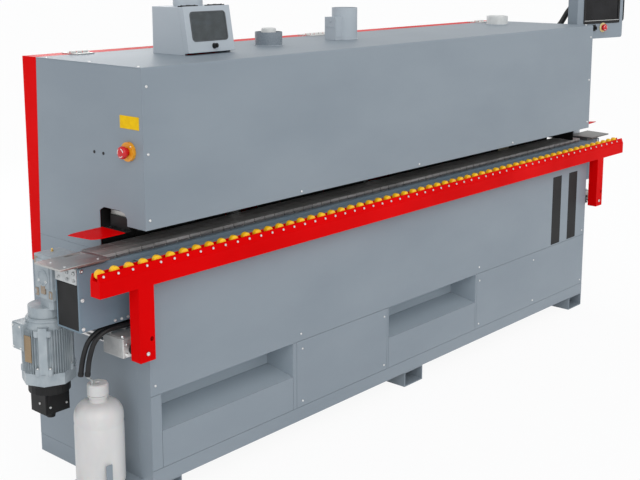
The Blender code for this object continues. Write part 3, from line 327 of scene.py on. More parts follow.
def made_mesh(name, build, finish, bevel=0.0):
    """The finished mesh as an object, its edges broken by a small round where a bevel is given."""
    mesh = bpy.data.meshes.new(name)
    build.to_mesh(mesh)
    build.free()
    mesh.materials.append(finish)
    creased(mesh)
    obj = bpy.data.objects.new(name, mesh)
    bpy.context.scene.collection.objects.link(obj)
    if bevel:
        rounded_edges(obj, bevel).harden_normals = True
    return obj


hose_pvc = moulded(
    "hose_pvc",
    (0.008, 0.008, 0.009),
    (0.015, 0.015, 0.016),
    0.42,
    scale=25.0,
    Specular_IOR_Level=0.3,
)
clear_pvc = moulded(
    "clear_pvc", (0.55, 0.58, 0.58), (0.66, 0.68, 0.68), 0.25, Transmission_Weight=0.45
)
hose_routes = {
    "hose_front": [
        (-0.001, 0.076, 0.594),
        (-0.06, 0.078, 0.595),
        (-0.104, 0.084, 0.59),
        (-0.134, 0.096, 0.562),
        (-0.147, 0.108, 0.51),
        (-0.15, 0.118, 0.452),
    ],
    "hose_rear": [
        (-0.001, 0.096, 0.594),
        (-0.062, 0.098, 0.595),
        (-0.11, 0.104, 0.59),
        (-0.143, 0.115, 0.561),
        (-0.158, 0.126, 0.51),
        (-0.162, 0.137, 0.45),
    ],
}
hose_radius = 0.008
for name, knots in hose_routes.items():
    route = smooth_route([at(*knot) for knot in knots], 24)
    hose = bent_tube(name + "_run", route, hose_radius, hose_pvc)
    settle(hose, "frame", "hose_rubber", name)
    way = (route[-1] - route[-2]).normalized()
    profile = [
        (0, -0.01), (0.0088, -0.01), (0.0092, -0.008), (0.0092, 0.000), (0.0084, 0.0015),
        (0, 0.0015),
    ]
    tip = settle(
        turned(name + "_tip", profile, route[-1], way, hose_pvc, 24), "frame", "hose_rubber"
    )
    if name == "hose_front":
        mouth = at(-0.126, 0.129, 0.408)
        drop = [route[-1], route[-1] + way * 0.006, mouth + Vector((-0.003, -0.002, 0.02)), mouth]
        nozzle = bent_tube("drain_nozzle", smooth_route(drop, 12), 0.0035, clear_pvc)
        settle(nozzle, "frame", "white_plastic")


# -- Feet, cabinet and machine bed --
# Three lengths of rectangular tube under a welded cabinet of 4 mm sheet, powder-coated blue-grey
# after welding. The ground steel bed inside carries the working units.
def powder_coat(name, deep, pale, roughness, scale=3.0):
    """Baked powder paint: slow tone drift over the panel, orange peel and uneven gloss."""
    made, add, shader = finish_of(name, roughness, Specular_IOR_Level=0.35)
    place = add("ShaderNodeTexCoord")["Object"]
    colour, spread = blotched(add, place, (deep, pale), scale, stretch=(0.6, 0.6, 1.4))
    connect(made, shader, "Base Color", colour)
    grain = add("ShaderNodeTexNoise", {"Vector": place, "Scale": 160.0, "Detail": 3.0})["Fac"]
    roughened(made, add, shader, grain, roughness - 0.08, roughness + 0.1)
    peel = add("ShaderNodeTexNoise", {"Vector": place, "Scale": 480.0, "Detail": 2.0})["Fac"]
    dimpled(made, add, shader, peel, 0.22, 0.0004)
    return made


def ground_steel(name, dark, light, roughness, stretch):
    """Bright steel with grinding or drawing lines, which run across the stretched direction."""
    made, add, shader = finish_of(name, roughness, Metallic=1.0)
    place = add("ShaderNodeTexCoord")["Object"]
    lines = add("ShaderNodeMapping", {"Vector": place, "Scale": stretch})[0]
    streak = add("ShaderNodeTexNoise", {"Vector": lines, "Scale": 90.0, "Detail": 4.0})["Fac"]
    colour = add("ShaderNodeMix", {0: streak, 6: (*dark, 1), 7: (*light, 1)}, data_type="RGBA")[2]
    connect(made, shader, "Base Color", colour)
    roughened(made, add, shader, streak, roughness - 0.1, roughness + 0.14)
    dimpled(made, add, shader, streak, 0.15, 0.0002)
    return made


def keep(node, finish, bevel=0.0012):
    """A CAD solid whose shape is right: its finish, with its edges broken by a small round."""
    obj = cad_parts[node]
    obj.data.materials.clear()
    obj.data.materials.append(finish)
    weld = obj.modifiers.new("weld", "WELD")
    weld.merge_threshold = 0.00002
    if bevel:
        rounded_edges(obj, bevel)
        obj.modifiers.new("shading", "WEIGHTED_NORMAL").keep_sharp = True
    return obj


grey_coat = powder_coat("grey_coat", (0.236, 0.278, 0.318), (0.262, 0.305, 0.345), 0.46)
bed_steel = ground_steel("bed_steel", (0.42, 0.43, 0.44), (0.62, 0.62, 0.62), 0.34, (0.3, 4, 4))
for node in ("foot_left", "foot_middle", "foot_right"):
    keep(node, grey_coat, 0.002)
keep("cabinet_frame", grey_coat, 0.001)
keep("machine_bed", bed_steel, 0.0008)


# -- Lower front cover --
# Folded sheet panels close the cabinet's front, with two square niches let in. The panels meet
# in narrow seams and are held by button-head screws.
def slab_into(build, low, high):
    """Adds a box between two places given from the machine's corner."""
    spots = [
        (x, y, z)
        for x in (low[0], high[0])
        for y in (low[1], high[1])
        for z in (low[2], high[2])
    ]
    verts = [build.verts.new(at(*spot)) for spot in spots]
    for a, b, c, d in (
        (0, 1, 3, 2), (4, 6, 7, 5), (0, 4, 5, 1), (2, 3, 7, 6), (0, 2, 6, 4), (1, 5, 7, 3),
    ):
        build.faces.new((verts[a], verts[b], verts[c], verts[d]))


def sunk_screws(name, places, way, radius, finish, body, slot):
    """Button-head socket screws as one piece, each with its head just proud of the sheet."""
    build = bmesh.new()
    rise = radius * 0.5
    dome = [(0, -0.0002), (radius, -0.0002), (radius * 0.94, rise * 0.5), (radius * 0.7, rise)]
    dome += [(radius * 0.45, rise), (radius * 0.42, rise * 0.3), (0, rise * 0.3)]
    for place in places:
        spin_into(build, dome, at(*place), way, 14)
    bmesh.ops.recalc_face_normals(build, faces=build.faces)
    return settle(made_mesh(name, build, finish), body, slot)


zinc = ground_steel("zinc_plate", (0.6, 0.61, 0.62), (0.78, 0.78, 0.77), 0.3, (1, 1, 1))
sheet = 0.003
seam = 0.0012
cover_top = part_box("front_cover")[1].z - corner.z
cover_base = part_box("front_cover")[0].z - corner.z
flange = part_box("front_cover")[0].y + 0.065 - corner.y
upper_base = 0.365
lower_top = 0.115
niche_base = 0.24
niche_depth = 0.13
niches = ((0.043, 0.653), (1.205, 1.815))
seams = (0.672, 1.195, 1.826)
build = bmesh.new()
slab_into(build, (0, 0, upper_base + seam), (length, sheet, cover_top))
slab_into(build, (0, 0, cover_base), (length, sheet, lower_top - seam))
edges = (0.0, *seams, length)
for start, end in zip(edges, edges[1:]):
    held = [niche for niche in niches if start < niche[0] < end]
    left = start + seam / 2
    right = end - seam / 2
    if not held:
        slab_into(build, (left, 0, lower_top), (right, sheet, upper_base))
        continue
    x0, x1 = held[0]
    slab_into(build, (left, 0, lower_top), (x0 - seam / 2, sheet, upper_base))
    slab_into(build, (x1 + seam / 2, 0, lower_top), (right, sheet, upper_base))
    slab_into(build, (x0 + seam / 2, 0, lower_top), (x1 - seam / 2, sheet, niche_base))
trays = bmesh.new()
for x0, x1 in niches:
    tray = [(0.002, niche_base), (niche_depth, niche_base + 0.02), (niche_depth, upper_base)]
    for (y0, z0), (y1, z1) in zip(tray, tray[1:]):
        spots = [(x0, y0, z0), (x1, y0, z0), (x1, y1, z1), (x0, y1, z1)]
        out = Vector((0, z0 - z1, y1 - y0)).normalized() * -sheet
        near = [trays.verts.new(at(*spot)) for spot in spots]
        far = [trays.verts.new(at(*spot) + out) for spot in spots]
        trays.faces.new(near)
        trays.faces.new(far[::-1])
        for i in range(4):
            j = (i + 1) % 4
            trays.faces.new((near[i], far[i], far[j], near[j]))
    for x, reach in ((x0, -sheet), (x1, sheet)):
        low = (min(x, x + reach), 0.001, niche_base - sheet)
        slab_into(trays, low, (max(x, x + reach), niche_depth + sheet, upper_base + sheet))
    slab_into(trays, (x0, 0.0035, upper_base), (x1, niche_depth + sheet, upper_base + sheet))
for x in (0, length - sheet):
    slab_into(build, (x, sheet, cover_base), (x + sheet, flange, cover_top))
slab_into(build, (0, sheet, cover_top - sheet), (length, flange, cover_top))
slab_into(
    build, (0.012, sheet + 0.0005, cover_base), (length - 0.012, sheet + 0.0015, niche_base - 0.005)
)
bmesh.ops.recalc_face_normals(build, faces=build.faces)
settle(made_mesh("cover_panels", build, grey_coat, 0.0008), "frame", "grey_paint", "front_cover")
# The niche trays wear the cabinet's grey paint made paler: painted light for the light that fills
# the niches.
niche_painted_light_coat = powder_coat("niche_painted_light_coat", (0.33, 0.385, 0.432), (0.362, 0.418, 0.465), 0.46)
bmesh.ops.recalc_face_normals(trays, faces=trays.faces)
settle(made_mesh("niche_trays", trays, niche_painted_light_coat, 0.0008), "frame", "grey_paint")
cover_screws = [(0.02, 0.398), (0.695, 0.392), (0.703, 0.334), (0.703, 0.135), (1.177, 0.335)]
cover_screws += [(1.177, 0.135), (1.84, 0.394), (1.846, 0.332), (1.846, 0.135), (2.296, 0.331)]
cover_screws += [(2.298, 0.135), (2.749, 0.135), (2.749, 0.39)]
places = [(x, 0, z) for x, z in cover_screws]
sunk_screws("cover_screws", places, (0, -1, 0), 0.0042, zinc, "frame", "steel")
bar_black = moulded(
    "bar_film",
    (0.008, 0.008, 0.009),
    (0.013, 0.013, 0.014),
    0.55,
    scale=8.0,
    Specular_IOR_Level=0.2,
)
build = bmesh.new()
for x in (2.45, 2.6):
    slab_into(build, (x, -0.0003, 0.372), (x + 0.08, 0.001, 0.7))
bmesh.ops.recalc_face_normals(build, faces=build.faces)
settle(made_mesh("cover_bars", build, bar_black), "frame", "black_plastic")


# -- Conveyor beam and end plates --
# A box beam of 6 mm plate carries the chain, closed at the drive end by a black cover. Ground steel
# plates bridge the gap at both ends, the left one slotted for the chain's take-up screw.
def cut_away(obj, *tools):
    """Takes the tools' shapes out of the piece for good."""
    for tool in tools:
        step = obj.modifiers.new("cut", "BOOLEAN")
        step.object = tool
        step.solver = "EXACT"
        bpy.context.view_layer.update()
        graph = bpy.context.evaluated_depsgraph_get()
        done = bpy.data.meshes.new_from_object(obj.evaluated_get(graph))
        obj.modifiers.clear()
        obj.data = done
        bpy.data.objects.remove(tool, do_unlink=True)
    return obj


def drawn(axis):
    """Turns a drawing across the axis, and a distance w along it, into x, y and z."""
    return {
        "X": lambda u, v, w: (w, u, v),
        "Y": lambda u, v, w: (u, w, v),
        "Z": lambda u, v, w: (u, v, w),
    }[axis]


def extrude_into(build, outline, axis, start, end):
    """Adds the outline, drawn in the plane across the axis, run from start to end along it."""
    turn = drawn(axis)
    low = [build.verts.new(at(*turn(u, v, start))) for u, v in outline]
    high = [build.verts.new(at(*turn(u, v, end))) for u, v in outline]
    build.faces.new(low[::-1])
    build.faces.new(high)
    for i in range(len(outline)):
        j = (i + 1) % len(outline)
        build.faces.new((low[i], low[j], high[j], high[i]))


def pieces_of(name, finish, parts, bevel=0.0, place=None):
    """One object from boxes, outlines and turned parts, each given as its maker and arguments."""
    build = bmesh.new()
    for maker, *facts in parts:
        maker(build, *facts)
    if place:
        build.transform(place)
    bmesh.ops.recalc_face_normals(build, faces=build.faces)
    return made_mesh(name, build, finish, bevel)


def slab(parts, low, high):
    """Adds the facts of one box to the parts."""
    parts.append((slab_into, low, high))


def spin(parts, *facts):
    """Adds the facts of one turned part to the parts."""
    parts.append((spin_into, *facts))


def fit(name, finish, parts, body, slot, *nodes, bevel=0.0, place=None):
    """Makes one object of the parts and settles it on its body."""
    return settle(pieces_of(name, finish, parts, bevel, place), body, slot, *nodes)


def local(node):
    """A CAD solid's two corners, measured from the machine's corner."""
    low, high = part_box(node)
    return low - corner, high - corner


HEAD = ((0, -0.0002), (1.0, -0.0002), (1.0, 0.55), (0.9, 0.7), (0.52, 0.7), (0.5, 0.25), (0, 0.25))


def bolt(place, way, radius, sides=16):
    """The facts of one socket head bolt for pieces_of."""
    return (spin_into, [(r * radius, h * radius) for r, h in HEAD], at(*place), way, sides)


plate_steel = ground_steel("plate_steel", (0.34, 0.35, 0.35), (0.58, 0.58, 0.56), 0.4, (0.4, 6, 2))
cover_black = moulded(
    "cover_black",
    (0.007, 0.007, 0.008),
    (0.012, 0.012, 0.012),
    0.5,
    scale=15.0,
    Specular_IOR_Level=0.25,
)
# The beam wears the cabinet's grey paint made darker: painted shade on the beam's faces.
beam_painted_shade_coat = powder_coat("beam_painted_shade_coat", (0.15, 0.212, 0.262), (0.182, 0.246, 0.298), 0.5, 6.0)
keep("conveyor_beam", beam_painted_shade_coat, 0.0012)
keep("beam_cover", cover_black, 0.0006)
low, high = local("conveyor_beam")
cover_top_z = local("beam_cover")[1].z
flange_face = [
    (
        slab_into,
        (low.x - 0.004, low.y + 0.004, cover_top_z + 0.004),
        (low.x + 0.006, high.y - 0.004, high.z),
    )
]
for y in (low.y + 0.018, low.y + 0.05, high.y - 0.022):
    flange_face.append(bolt((low.x - 0.004, y, high.z - 0.016), (-1, 0, 0), 0.0065))
    flange_face.append(bolt((low.x - 0.004, y, cover_top_z + 0.016), (-1, 0, 0), 0.005))
cast_block = moulded(
    "cast_block", (0.42, 0.44, 0.45), (0.55, 0.57, 0.58), 0.42, scale=70.0, Metallic=0.7
)
fit("beam_head", cast_block, flange_face, "frame", "cast_aluminium", bevel=0.0008)
beam_bolts = [bolt((-0.194, low.y, z), (0, -1, 0), 0.0062) for z in (high.z - 0.008, 0.714, 0.624)]
beam_bolts += [bolt((x, low.y, low.z + 0.01), (0, -1, 0), 0.005) for x in (-0.075, -0.05, -0.025)]
beam_bolts += [
    bolt((length + 0.226, low.y, z), (0, -1, 0), 0.0062)
    for z in (high.z - 0.008, 0.714, 0.624)
]
fit("beam_bolts", zinc, beam_bolts, "frame", "steel")

low, high = local("end_plate_left")
base = high.z - 0.006
plate = pieces_of("end_plate_left_top", plate_steel, [(slab_into, (low.x, low.y, base), high)])
slot = [(low.x + 0.095, high.y - 0.022), (low.x + 0.16, high.y - 0.022)]
slot += [(low.x + 0.16, high.y - 0.012), (low.x + 0.095, high.y - 0.012)]
tool = pieces_of("slot", plate_steel, [(extrude_into, slot, "Z", base - 0.01, high.z + 0.01)])
cut_away(plate, tool)
edge = plate.modifiers.new("broken_edges", "BEVEL")
edge.width = 0.0008
edge.limit_method = "ANGLE"
settle(plate, "frame", "steel", "end_plate_left")
spacer = [(slab_into, (-0.2, low.y + 0.025, low.z), (high.x, low.y + 0.13, base))]
fit("end_plate_spacer", plate_steel, spacer, "frame", "steel", bevel=0.0006)
plate_dark = ground_steel("plate_dark", (0.13, 0.13, 0.13), (0.24, 0.24, 0.23), 0.46, (0.4, 6, 2))
keep("end_plate_right", plate_dark, 0.0008)
spots = [(low.x + 0.03, low.y + 0.02), (low.x + 0.15, low.y + 0.02), (low.x + 0.03, high.y - 0.04)]
plate_bolts = [bolt((x, y, high.z - 0.0022), (0, 0, 1), 0.0045) for x, y in spots]
fit("plate_bolts", zinc, plate_bolts, "frame", "steel")


# -- Feed chain and sprockets --
# A double-width roller chain with a moulded rubber pad on every link; the pads grip the panel and
# stand a hair apart. Toothed steel wheels turn it at each end of the beam.
# The pads' two tones are paler than the rubber itself: painted light for the light on the chain's
# top, over the rubber's own random drift.
pad_rubber, add, shader = finish_of("pad_rubber", 0.42)
place = add("ShaderNodeTexCoord")["Object"]
colour, spread = blotched(
    add, place, ((0.25, 0.246, 0.24), (0.42, 0.412, 0.405)), 14.0, stretch=(0.4, 3, 1)
)
connect(pad_rubber, shader, "Base Color", colour)
roughened(pad_rubber, add, shader, spread, 0.3, 0.52)
across = add("ShaderNodeMapping", {"Vector": place, "Scale": (1, 0, 0)})[0]
ribs = add(
    "ShaderNodeTexWave", {"Vector": across, "Scale": 120.0, "Distortion": 0.0}, bands_direction="X"
)["Fac"]
dimpled(pad_rubber, add, shader, ribs, 0.35, 0.0006)
low, high = local("feed_chain")
pitch = 0.05
pads = [(slab_into, (low.x, low.y + 0.006, low.z), (high.x, high.y - 0.006, high.z - 0.0085))]
links = []
for i in range(round((high.x - low.x) / pitch)):
    start = low.x + i * pitch
    slab(pads, (start + 0.0012, low.y, high.z - 0.0095), (start + pitch - 0.0012, high.y, high.z))
    for y in (low.y + 0.001, high.y - 0.004):
        slab(
            links,
            (start + 0.004, y, low.z + 0.0004),
            (start + pitch - 0.004, y + 0.003, high.z - 0.01),
        )
        for x in (start + 0.0125, start + 0.0375):
            spin(links, rod(0.0028, 0.005), at(x, y - 0.001, low.z + 0.004), (0, 1, 0), 10)
fit("chain_pads", pad_rubber, pads, "feed_chain", "pad_rubber", "feed_chain", bevel=0.001)
chain_steel = ground_steel("chain_steel", (0.2, 0.2, 0.21), (0.36, 0.36, 0.36), 0.38, (2, 2, 2))
fit("chain_links", chain_steel, links, "feed_chain", "steel")
for node in ("drive_sprocket", "idler_sprocket"):
    keep(node, chain_steel, 0.0008)


# -- Gearbox, motor and cowl --
# A worm gearbox in a cast case hangs on the beam's rear, with a finned three-phase motor flanged
# under it. Both are cast and spray-painted light grey; the black cowl holds the brake.
def cast_paint(name, deep, pale, roughness, **constants):
    """Spray paint on a rough casting, with darker drift where the spray was thin."""
    sand = (420.0, 4.0, 0.45, 0.0006)
    return coated(name, (deep, pale), roughness, (26.0, 6.0), (0.1, -0.06), sand, **constants)


def circle_of(u, v, radius, sides=40):
    angles = [2 * math.pi * i / sides for i in range(sides)]
    return [(u + radius * math.cos(a), v + radius * math.sin(a)) for a in angles]


motor_paint = cast_paint("motor_paint", (0.29, 0.335, 0.365), (0.37, 0.415, 0.44), 0.42)
keep("gearbox", motor_paint, 0.003)
keep("motor_cowl", cover_black, 0.0025)
low, high = local("gearbox")
case_start = low.x + 0.026
case_end = low.x + 0.118
rear = low.y + 0.09
base = high.z - 0.138
trim = []
slab(
    trim,
    (case_start + 0.01, low.y - 0.0025, base + 0.03),
    (case_end - 0.028, low.y + 0.002, high.z - 0.014),
)
slab(
    trim,
    (case_start - 0.0035, low.y + 0.012, base + 0.034),
    (case_start + 0.002, rear - 0.012, high.z - 0.012),
)
rim = [
    (0, -0.002), (0.025, -0.002), (0.027, 0.002), (0.027, 0.005), (0.022, 0.007), (0.021, 0.004),
    (0, 0.004),
]
spin(trim, rim, at(case_start, (low.y + rear) / 2, high.z - 0.07), (-1, 0, 0), 36)
slab(
    trim,
    (case_start + 0.006, low.y + 0.008, high.z - 0.002),
    (case_end - 0.012, rear - 0.008, high.z + 0.0014),
)
for y in (low.y + 0.004, rear - 0.01):
    slab(trim, (case_start - 0.004, y, base + 0.01), (case_start + 0.004, y + 0.006, base + 0.026))
fit("gearbox_covers", motor_paint, trim, "frame", "motor_paint", bevel=0.0015)
brown_wax = moulded("brown_wax", (0.24, 0.18, 0.13), (0.34, 0.27, 0.2), 0.4, scale=120.0)
plugs = []
for y in (low.y + 0.01, rear - 0.01):
    for z in (high.z - 0.02, base + 0.018):
        slab(
            plugs,
            (case_start - 0.003, y - 0.008, z - 0.012),
            (case_start + 0.002, y + 0.008, z + 0.012),
        )
slab(
    plugs,
    (case_start - 0.005, low.y + 0.034, base + 0.016),
    (case_start + 0.001, low.y + 0.056, base + 0.046),
)
slab(
    plugs,
    (case_start + 0.014, low.y - 0.003, base + 0.004),
    (case_start + 0.034, low.y + 0.002, base + 0.026),
)
fit("gearbox_plugs", brown_wax, plugs, "frame", "motor_paint", bevel=0.0015)
studs = [
    bolt((case_start - 0.003, y, z), (-1, 0, 0), 0.0048)
    for y in (low.y + 0.026, rear - 0.026)
    for z in (high.z - 0.026, base + 0.058)
]
studs += [
    bolt((x, low.y - 0.002, z), (0, -1, 0), 0.0042)
    for x in (case_start + 0.018, case_end - 0.034)
    for z in (high.z - 0.022, base + 0.038)
]
fit("gearbox_studs", zinc, studs, "frame", "steel")
brass = ground_steel("brass", (0.55, 0.38, 0.12), (0.72, 0.52, 0.2), 0.28, (1, 1, 1))
nipple = [
    (0, -0.002), (0.0048, -0.002), (0.0048, 0.003), (0.003, 0.0035), (0.003, 0.006),
    (0.0036, 0.008), (0.0022, 0.011), (0, 0.011),
]
settle(
    turned(
        "grease_nipple", nipple, at(case_start + 0.046, rear - 0.03, high.z), (0, 0, 1), brass, 18
    ),
    "frame",
    "steel",
)

low, high = local("drive_motor")
cowl_low, cowl_high = local("motor_cowl")
motor_x = (cowl_low.x + cowl_high.x) / 2
motor_y = (cowl_low.y + cowl_high.y) / 2
base = low.z


def on_motor(angle, out, aside):
    """The place this far out from the motor's axis at an angle, and this far aside."""
    x = motor_x + out * math.cos(angle) - aside * math.sin(angle)
    return x, motor_y + out * math.sin(angle) + aside * math.cos(angle)


def block_outline(angle, root, crest):
    """A block that stands out from the axis, with its root and crest as (reach, half width)."""
    sides = ((root, -1), (crest, -1), (crest, 1), (root, 1))
    return [on_motor(angle, reach, half * way) for (reach, half), way in sides]


case = []
core = [
    (0, 0.034), (0.069, 0.034), (0.069, high.z - base - 0.028), (0.062, high.z - base - 0.012),
    (0.062, high.z - base), (0, high.z - base),
]
spin(case, core, at(motor_x, motor_y, base), (0, 0, 1), 48)
case.append((extrude_into, circle_of(motor_x, motor_y, 0.085, 8), "Z", base, base + 0.038))
fins = 56
for i in range(fins):
    angle = 2 * math.pi * i / fins
    if abs((math.degrees(angle) % 90) - 45) < 14:
        continue
    fin = block_outline(angle, (0.066, 0.0011), (0.0798, 0.0011 * 0.8))
    case.append((extrude_into, fin, "Z", base + 0.036, high.z - 0.031))
tower = [(0, 0), (0.009, 0), (0.009, 0.018), (0.0065, 0.0215), (0, 0.0215)]
towers = []
for i in range(4):
    angle = math.radians(45 + 90 * i)
    lug = block_outline(angle, (0.064, 0.018), (0.08, 0.013))
    case.append((extrude_into, lug, "Z", base + 0.036, high.z - 0.022))
    pair = [on_motor(angle, 0.0735, aside) for aside in (-0.019, 0.019)]
    towers += pair
    for way, start in ((1, base + 0.034), (-1, high.z - 0.03)):
        case += [(spin_into, tower, at(*spot, start), (0, 0, way), 16) for spot in pair]
slab(
    case,
    (low.x, motor_y + 0.005, high.z - 0.102),
    (motor_x - 0.035, motor_y + 0.06, high.z - 0.015),
)
slab(
    case,
    (low.x - 0.0035, motor_y + 0.008, high.z - 0.099),
    (low.x + 0.001, motor_y + 0.057, high.z - 0.018),
)
collar = [(0, 0), (0.0635, 0), (0.065, 0.002), (0.065, 0.008), (0.06, 0.011), (0, 0.011)]
spin(case, collar, at(motor_x, motor_y, high.z - 0.012), (0, 0, 1), 40)
fit("motor_case", motor_paint, case, "frame", "motor_paint", "drive_motor", bevel=0.0007)
box_screws = [
    bolt((low.x - 0.0035, motor_y + y, high.z + z), (-1, 0, 0), 0.0036)
    for y in (0.014, 0.051)
    for z in (-0.093, -0.024)
]
box_screws += [bolt((*spot, base + 0.055), (0, 0, 1), 0.0048) for spot in towers]
fit("motor_screws", zinc, box_screws, "frame", "steel")
tag_brown = ground_steel("tag_brown", (0.26, 0.19, 0.12), (0.38, 0.29, 0.19), 0.4, (1, 1, 8))
turn = math.radians(-172)
tag_x = motor_x + 0.0805 * math.cos(turn)
tag_y = motor_y + 0.0805 * math.sin(turn)
build = bmesh.new()
bmesh.ops.create_cube(build, size=1.0)
bmesh.ops.scale(build, vec=(0.03, 0.0016, 0.086), verts=build.verts)
tag_place = Matrix.Translation(at(tag_x, tag_y, base + 0.118))
build.transform(tag_place @ Matrix.Rotation(turn + math.pi / 2, 4, "Z"))
settle(made_mesh("motor_tag", build, tag_brown, 0.0006), "frame", "motor_paint")
low, high = local("motor_cowl")
lid = [
    (
        slab_into,
        (motor_x - 0.038, motor_y - 0.0425, low.z + 0.032),
        (motor_x + 0.038, motor_y - 0.039, high.z - 0.04),
    )
]
ring = [(0, 0), (0.0675, 0), (0.069, 0.002), (0.069, 0.006), (0.066, 0.008), (0, 0.008)]
spin(lid, ring, at(motor_x, motor_y, high.z - 0.01), (0, 0, 1), 40)
nut = [(0, 0), (0.017, 0), (0.017, 0.01), (0.014, 0.013), (0, 0.013)]
spin(lid, nut, at(motor_x, motor_y, low.z + 0.01), (0, 0, 1), 6)
fit("cowl_lid", cover_black, lid, "frame", "black_plastic", bevel=0.001)
lid_screws = [
    bolt((motor_x + x, motor_y - 0.0425, low.z + 0.05), (0, -1, 0), 0.0038)
    for x in (-0.03, 0.03)
]
lid_screws.append(bolt((motor_x - 0.045, motor_y - 0.01, low.z + 0.06), (-1, 0, 0), 0.0038))
fit("cowl_screws", zinc, lid_screws, "frame", "steel")


# -- Pull-out roller support --
# A red rail of folded sheet on two tube legs, welded and powder-coated. Its shoulders lean in to
# hold the roller axles. Two ground bars carry it, through cast bearing blocks on the cabinet.
def gloss_coat(name, deep, bright, roughness, **constants):
    """Bright red gloss powder paint, with faint orange peel and a slow drift in depth."""
    peel = (380.0, 2.0, 0.18, 0.0004)
    return coated(name, (deep, bright), roughness, (2.4, 3.0), (0.06, -0.06), peel, **constants)


red_coat = gloss_coat(
    "red_coat", (0.66, 0.0, 0.0005), (0.76, 0.0003, 0.0012), 0.42, Specular_IOR_Level=0.03
)
keep("roller_support", red_coat, 0.0012)
rail_low = local("roller_support")[0]
roller_low, roller_high = local("roller_1")
roller_radius = (roller_high.z - roller_low.z) / 2
axle_z = (roller_high.z + roller_low.z) / 2
first_x = (roller_high.x + roller_low.x) / 2
roller_pitch = 0.054
row_high = local("roller_row")[1].x
count = round((row_high - 0.8 * roller_radius - first_x) / roller_pitch) + 1
roller_xs = [first_x + i * roller_pitch for i in range(count)]
lean = Vector((0, -0.0225, 0.008)).normalized()
axle_ends = [bolt((x, rail_low.y + 0.0045, axle_z - 0.0045), lean, 0.0042, 12) for x in roller_xs]
fit("axle_screws", zinc, axle_ends, "support", "steel")
leg_bolts = []
for node in ("guide_bar_left", "guide_bar_right"):
    low, high = local(node)
    x = (low.x + high.x) / 2
    leg_bolts.append(bolt((x, rail_low.y + 0.002, (low.z + high.z) / 2), (0, -1, 0), 0.0066))
fit("leg_bolts", zinc, leg_bolts, "support", "steel")


# -- Support rollers --
# Moulded yellow nylon rollers, crowned and with a hub at each end, run on steel axles between the
# rail's shoulders. The first three are single pieces; the rest stand in one row.
yellow_nylon = moulded(
    "yellow_nylon",
    (0.92, 0.48, 0.006),
    (0.99, 0.58, 0.01),
    0.36,
    scale=30.0,
    Subsurface_Weight=0.05,
)


def roller_profile(width, radius):
    half = width / 2
    side = [
        (0.0045, -half), (0.0075, -half), (0.008, -half + 0.0016), (radius * 0.62, -half + 0.0018),
    ]
    side += [
        (radius * 0.8, -half + 0.0014), (radius * 0.9, -half + 0.002),
        (radius * 0.965, -half + 0.0036),
    ]
    side += [(radius * 0.995, -half + 0.0064)]
    crown = [(radius, 0)]
    return [(0, -half), *side, *crown, *((r, -h) for r, h in reversed(side)), (0, half)]


middle_y = (roller_low.y + roller_high.y) / 2
shape = roller_profile(roller_high.y - roller_low.y, roller_radius)
for i, x in enumerate(roller_xs[:3]):
    node = f"roller_{i + 1}"
    roller = pieces_of(
        node + "_nylon", yellow_nylon, [(spin_into, shape, at(x, middle_y, axle_z), (0, 1, 0), 36)]
    )
    settle(roller, node, "yellow_plastic", node)
row = [(spin_into, shape, at(x, middle_y, axle_z), (0, 1, 0), 24) for x in roller_xs[3:]]
fit("roller_row_nylon", yellow_nylon, row, "support", "yellow_plastic", "roller_row")
pin = rod(0.004, roller_high.y - roller_low.y + 0.006)
axles = [(spin_into, pin, at(x, roller_low.y - 0.003, axle_z), (0, 1, 0), 10) for x in roller_xs]
fit("roller_axles", zinc, axles, "support", "steel")


# -- Guide bars and bearing blocks --
# Hardened, ground bars slide in clamp blocks of cast aluminium. Each block is split and drawn
# together by hexagon bolts, over a black wiper ring at the bar.
for node in ("guide_bar_left", "guide_bar_right"):
    keep(
        node,
        ground_steel(node + "_chrome", (0.5, 0.5, 0.51), (0.66, 0.66, 0.66), 0.2, (1, 0.2, 1)),
        0.0008,
    )
HEX = ((0, -0.0002), (1.0, -0.0002), (1.0, 0.55), (0.9, 0.72), (0, 0.72))


def hex_bolt(place, way, radius):
    """The facts of one hexagon bolt and its washer for pieces_of."""
    washer = [(0, -0.0003), (1.25 * radius, -0.0003), (1.25 * radius, 0.0012), (0, 0.0012)]
    head = [(r * radius, 0.001 + h * radius * (h > 0)) for r, h in HEX]
    return [(spin_into, washer, at(*place), way, 20), (spin_into, head, at(*place), way, 6)]


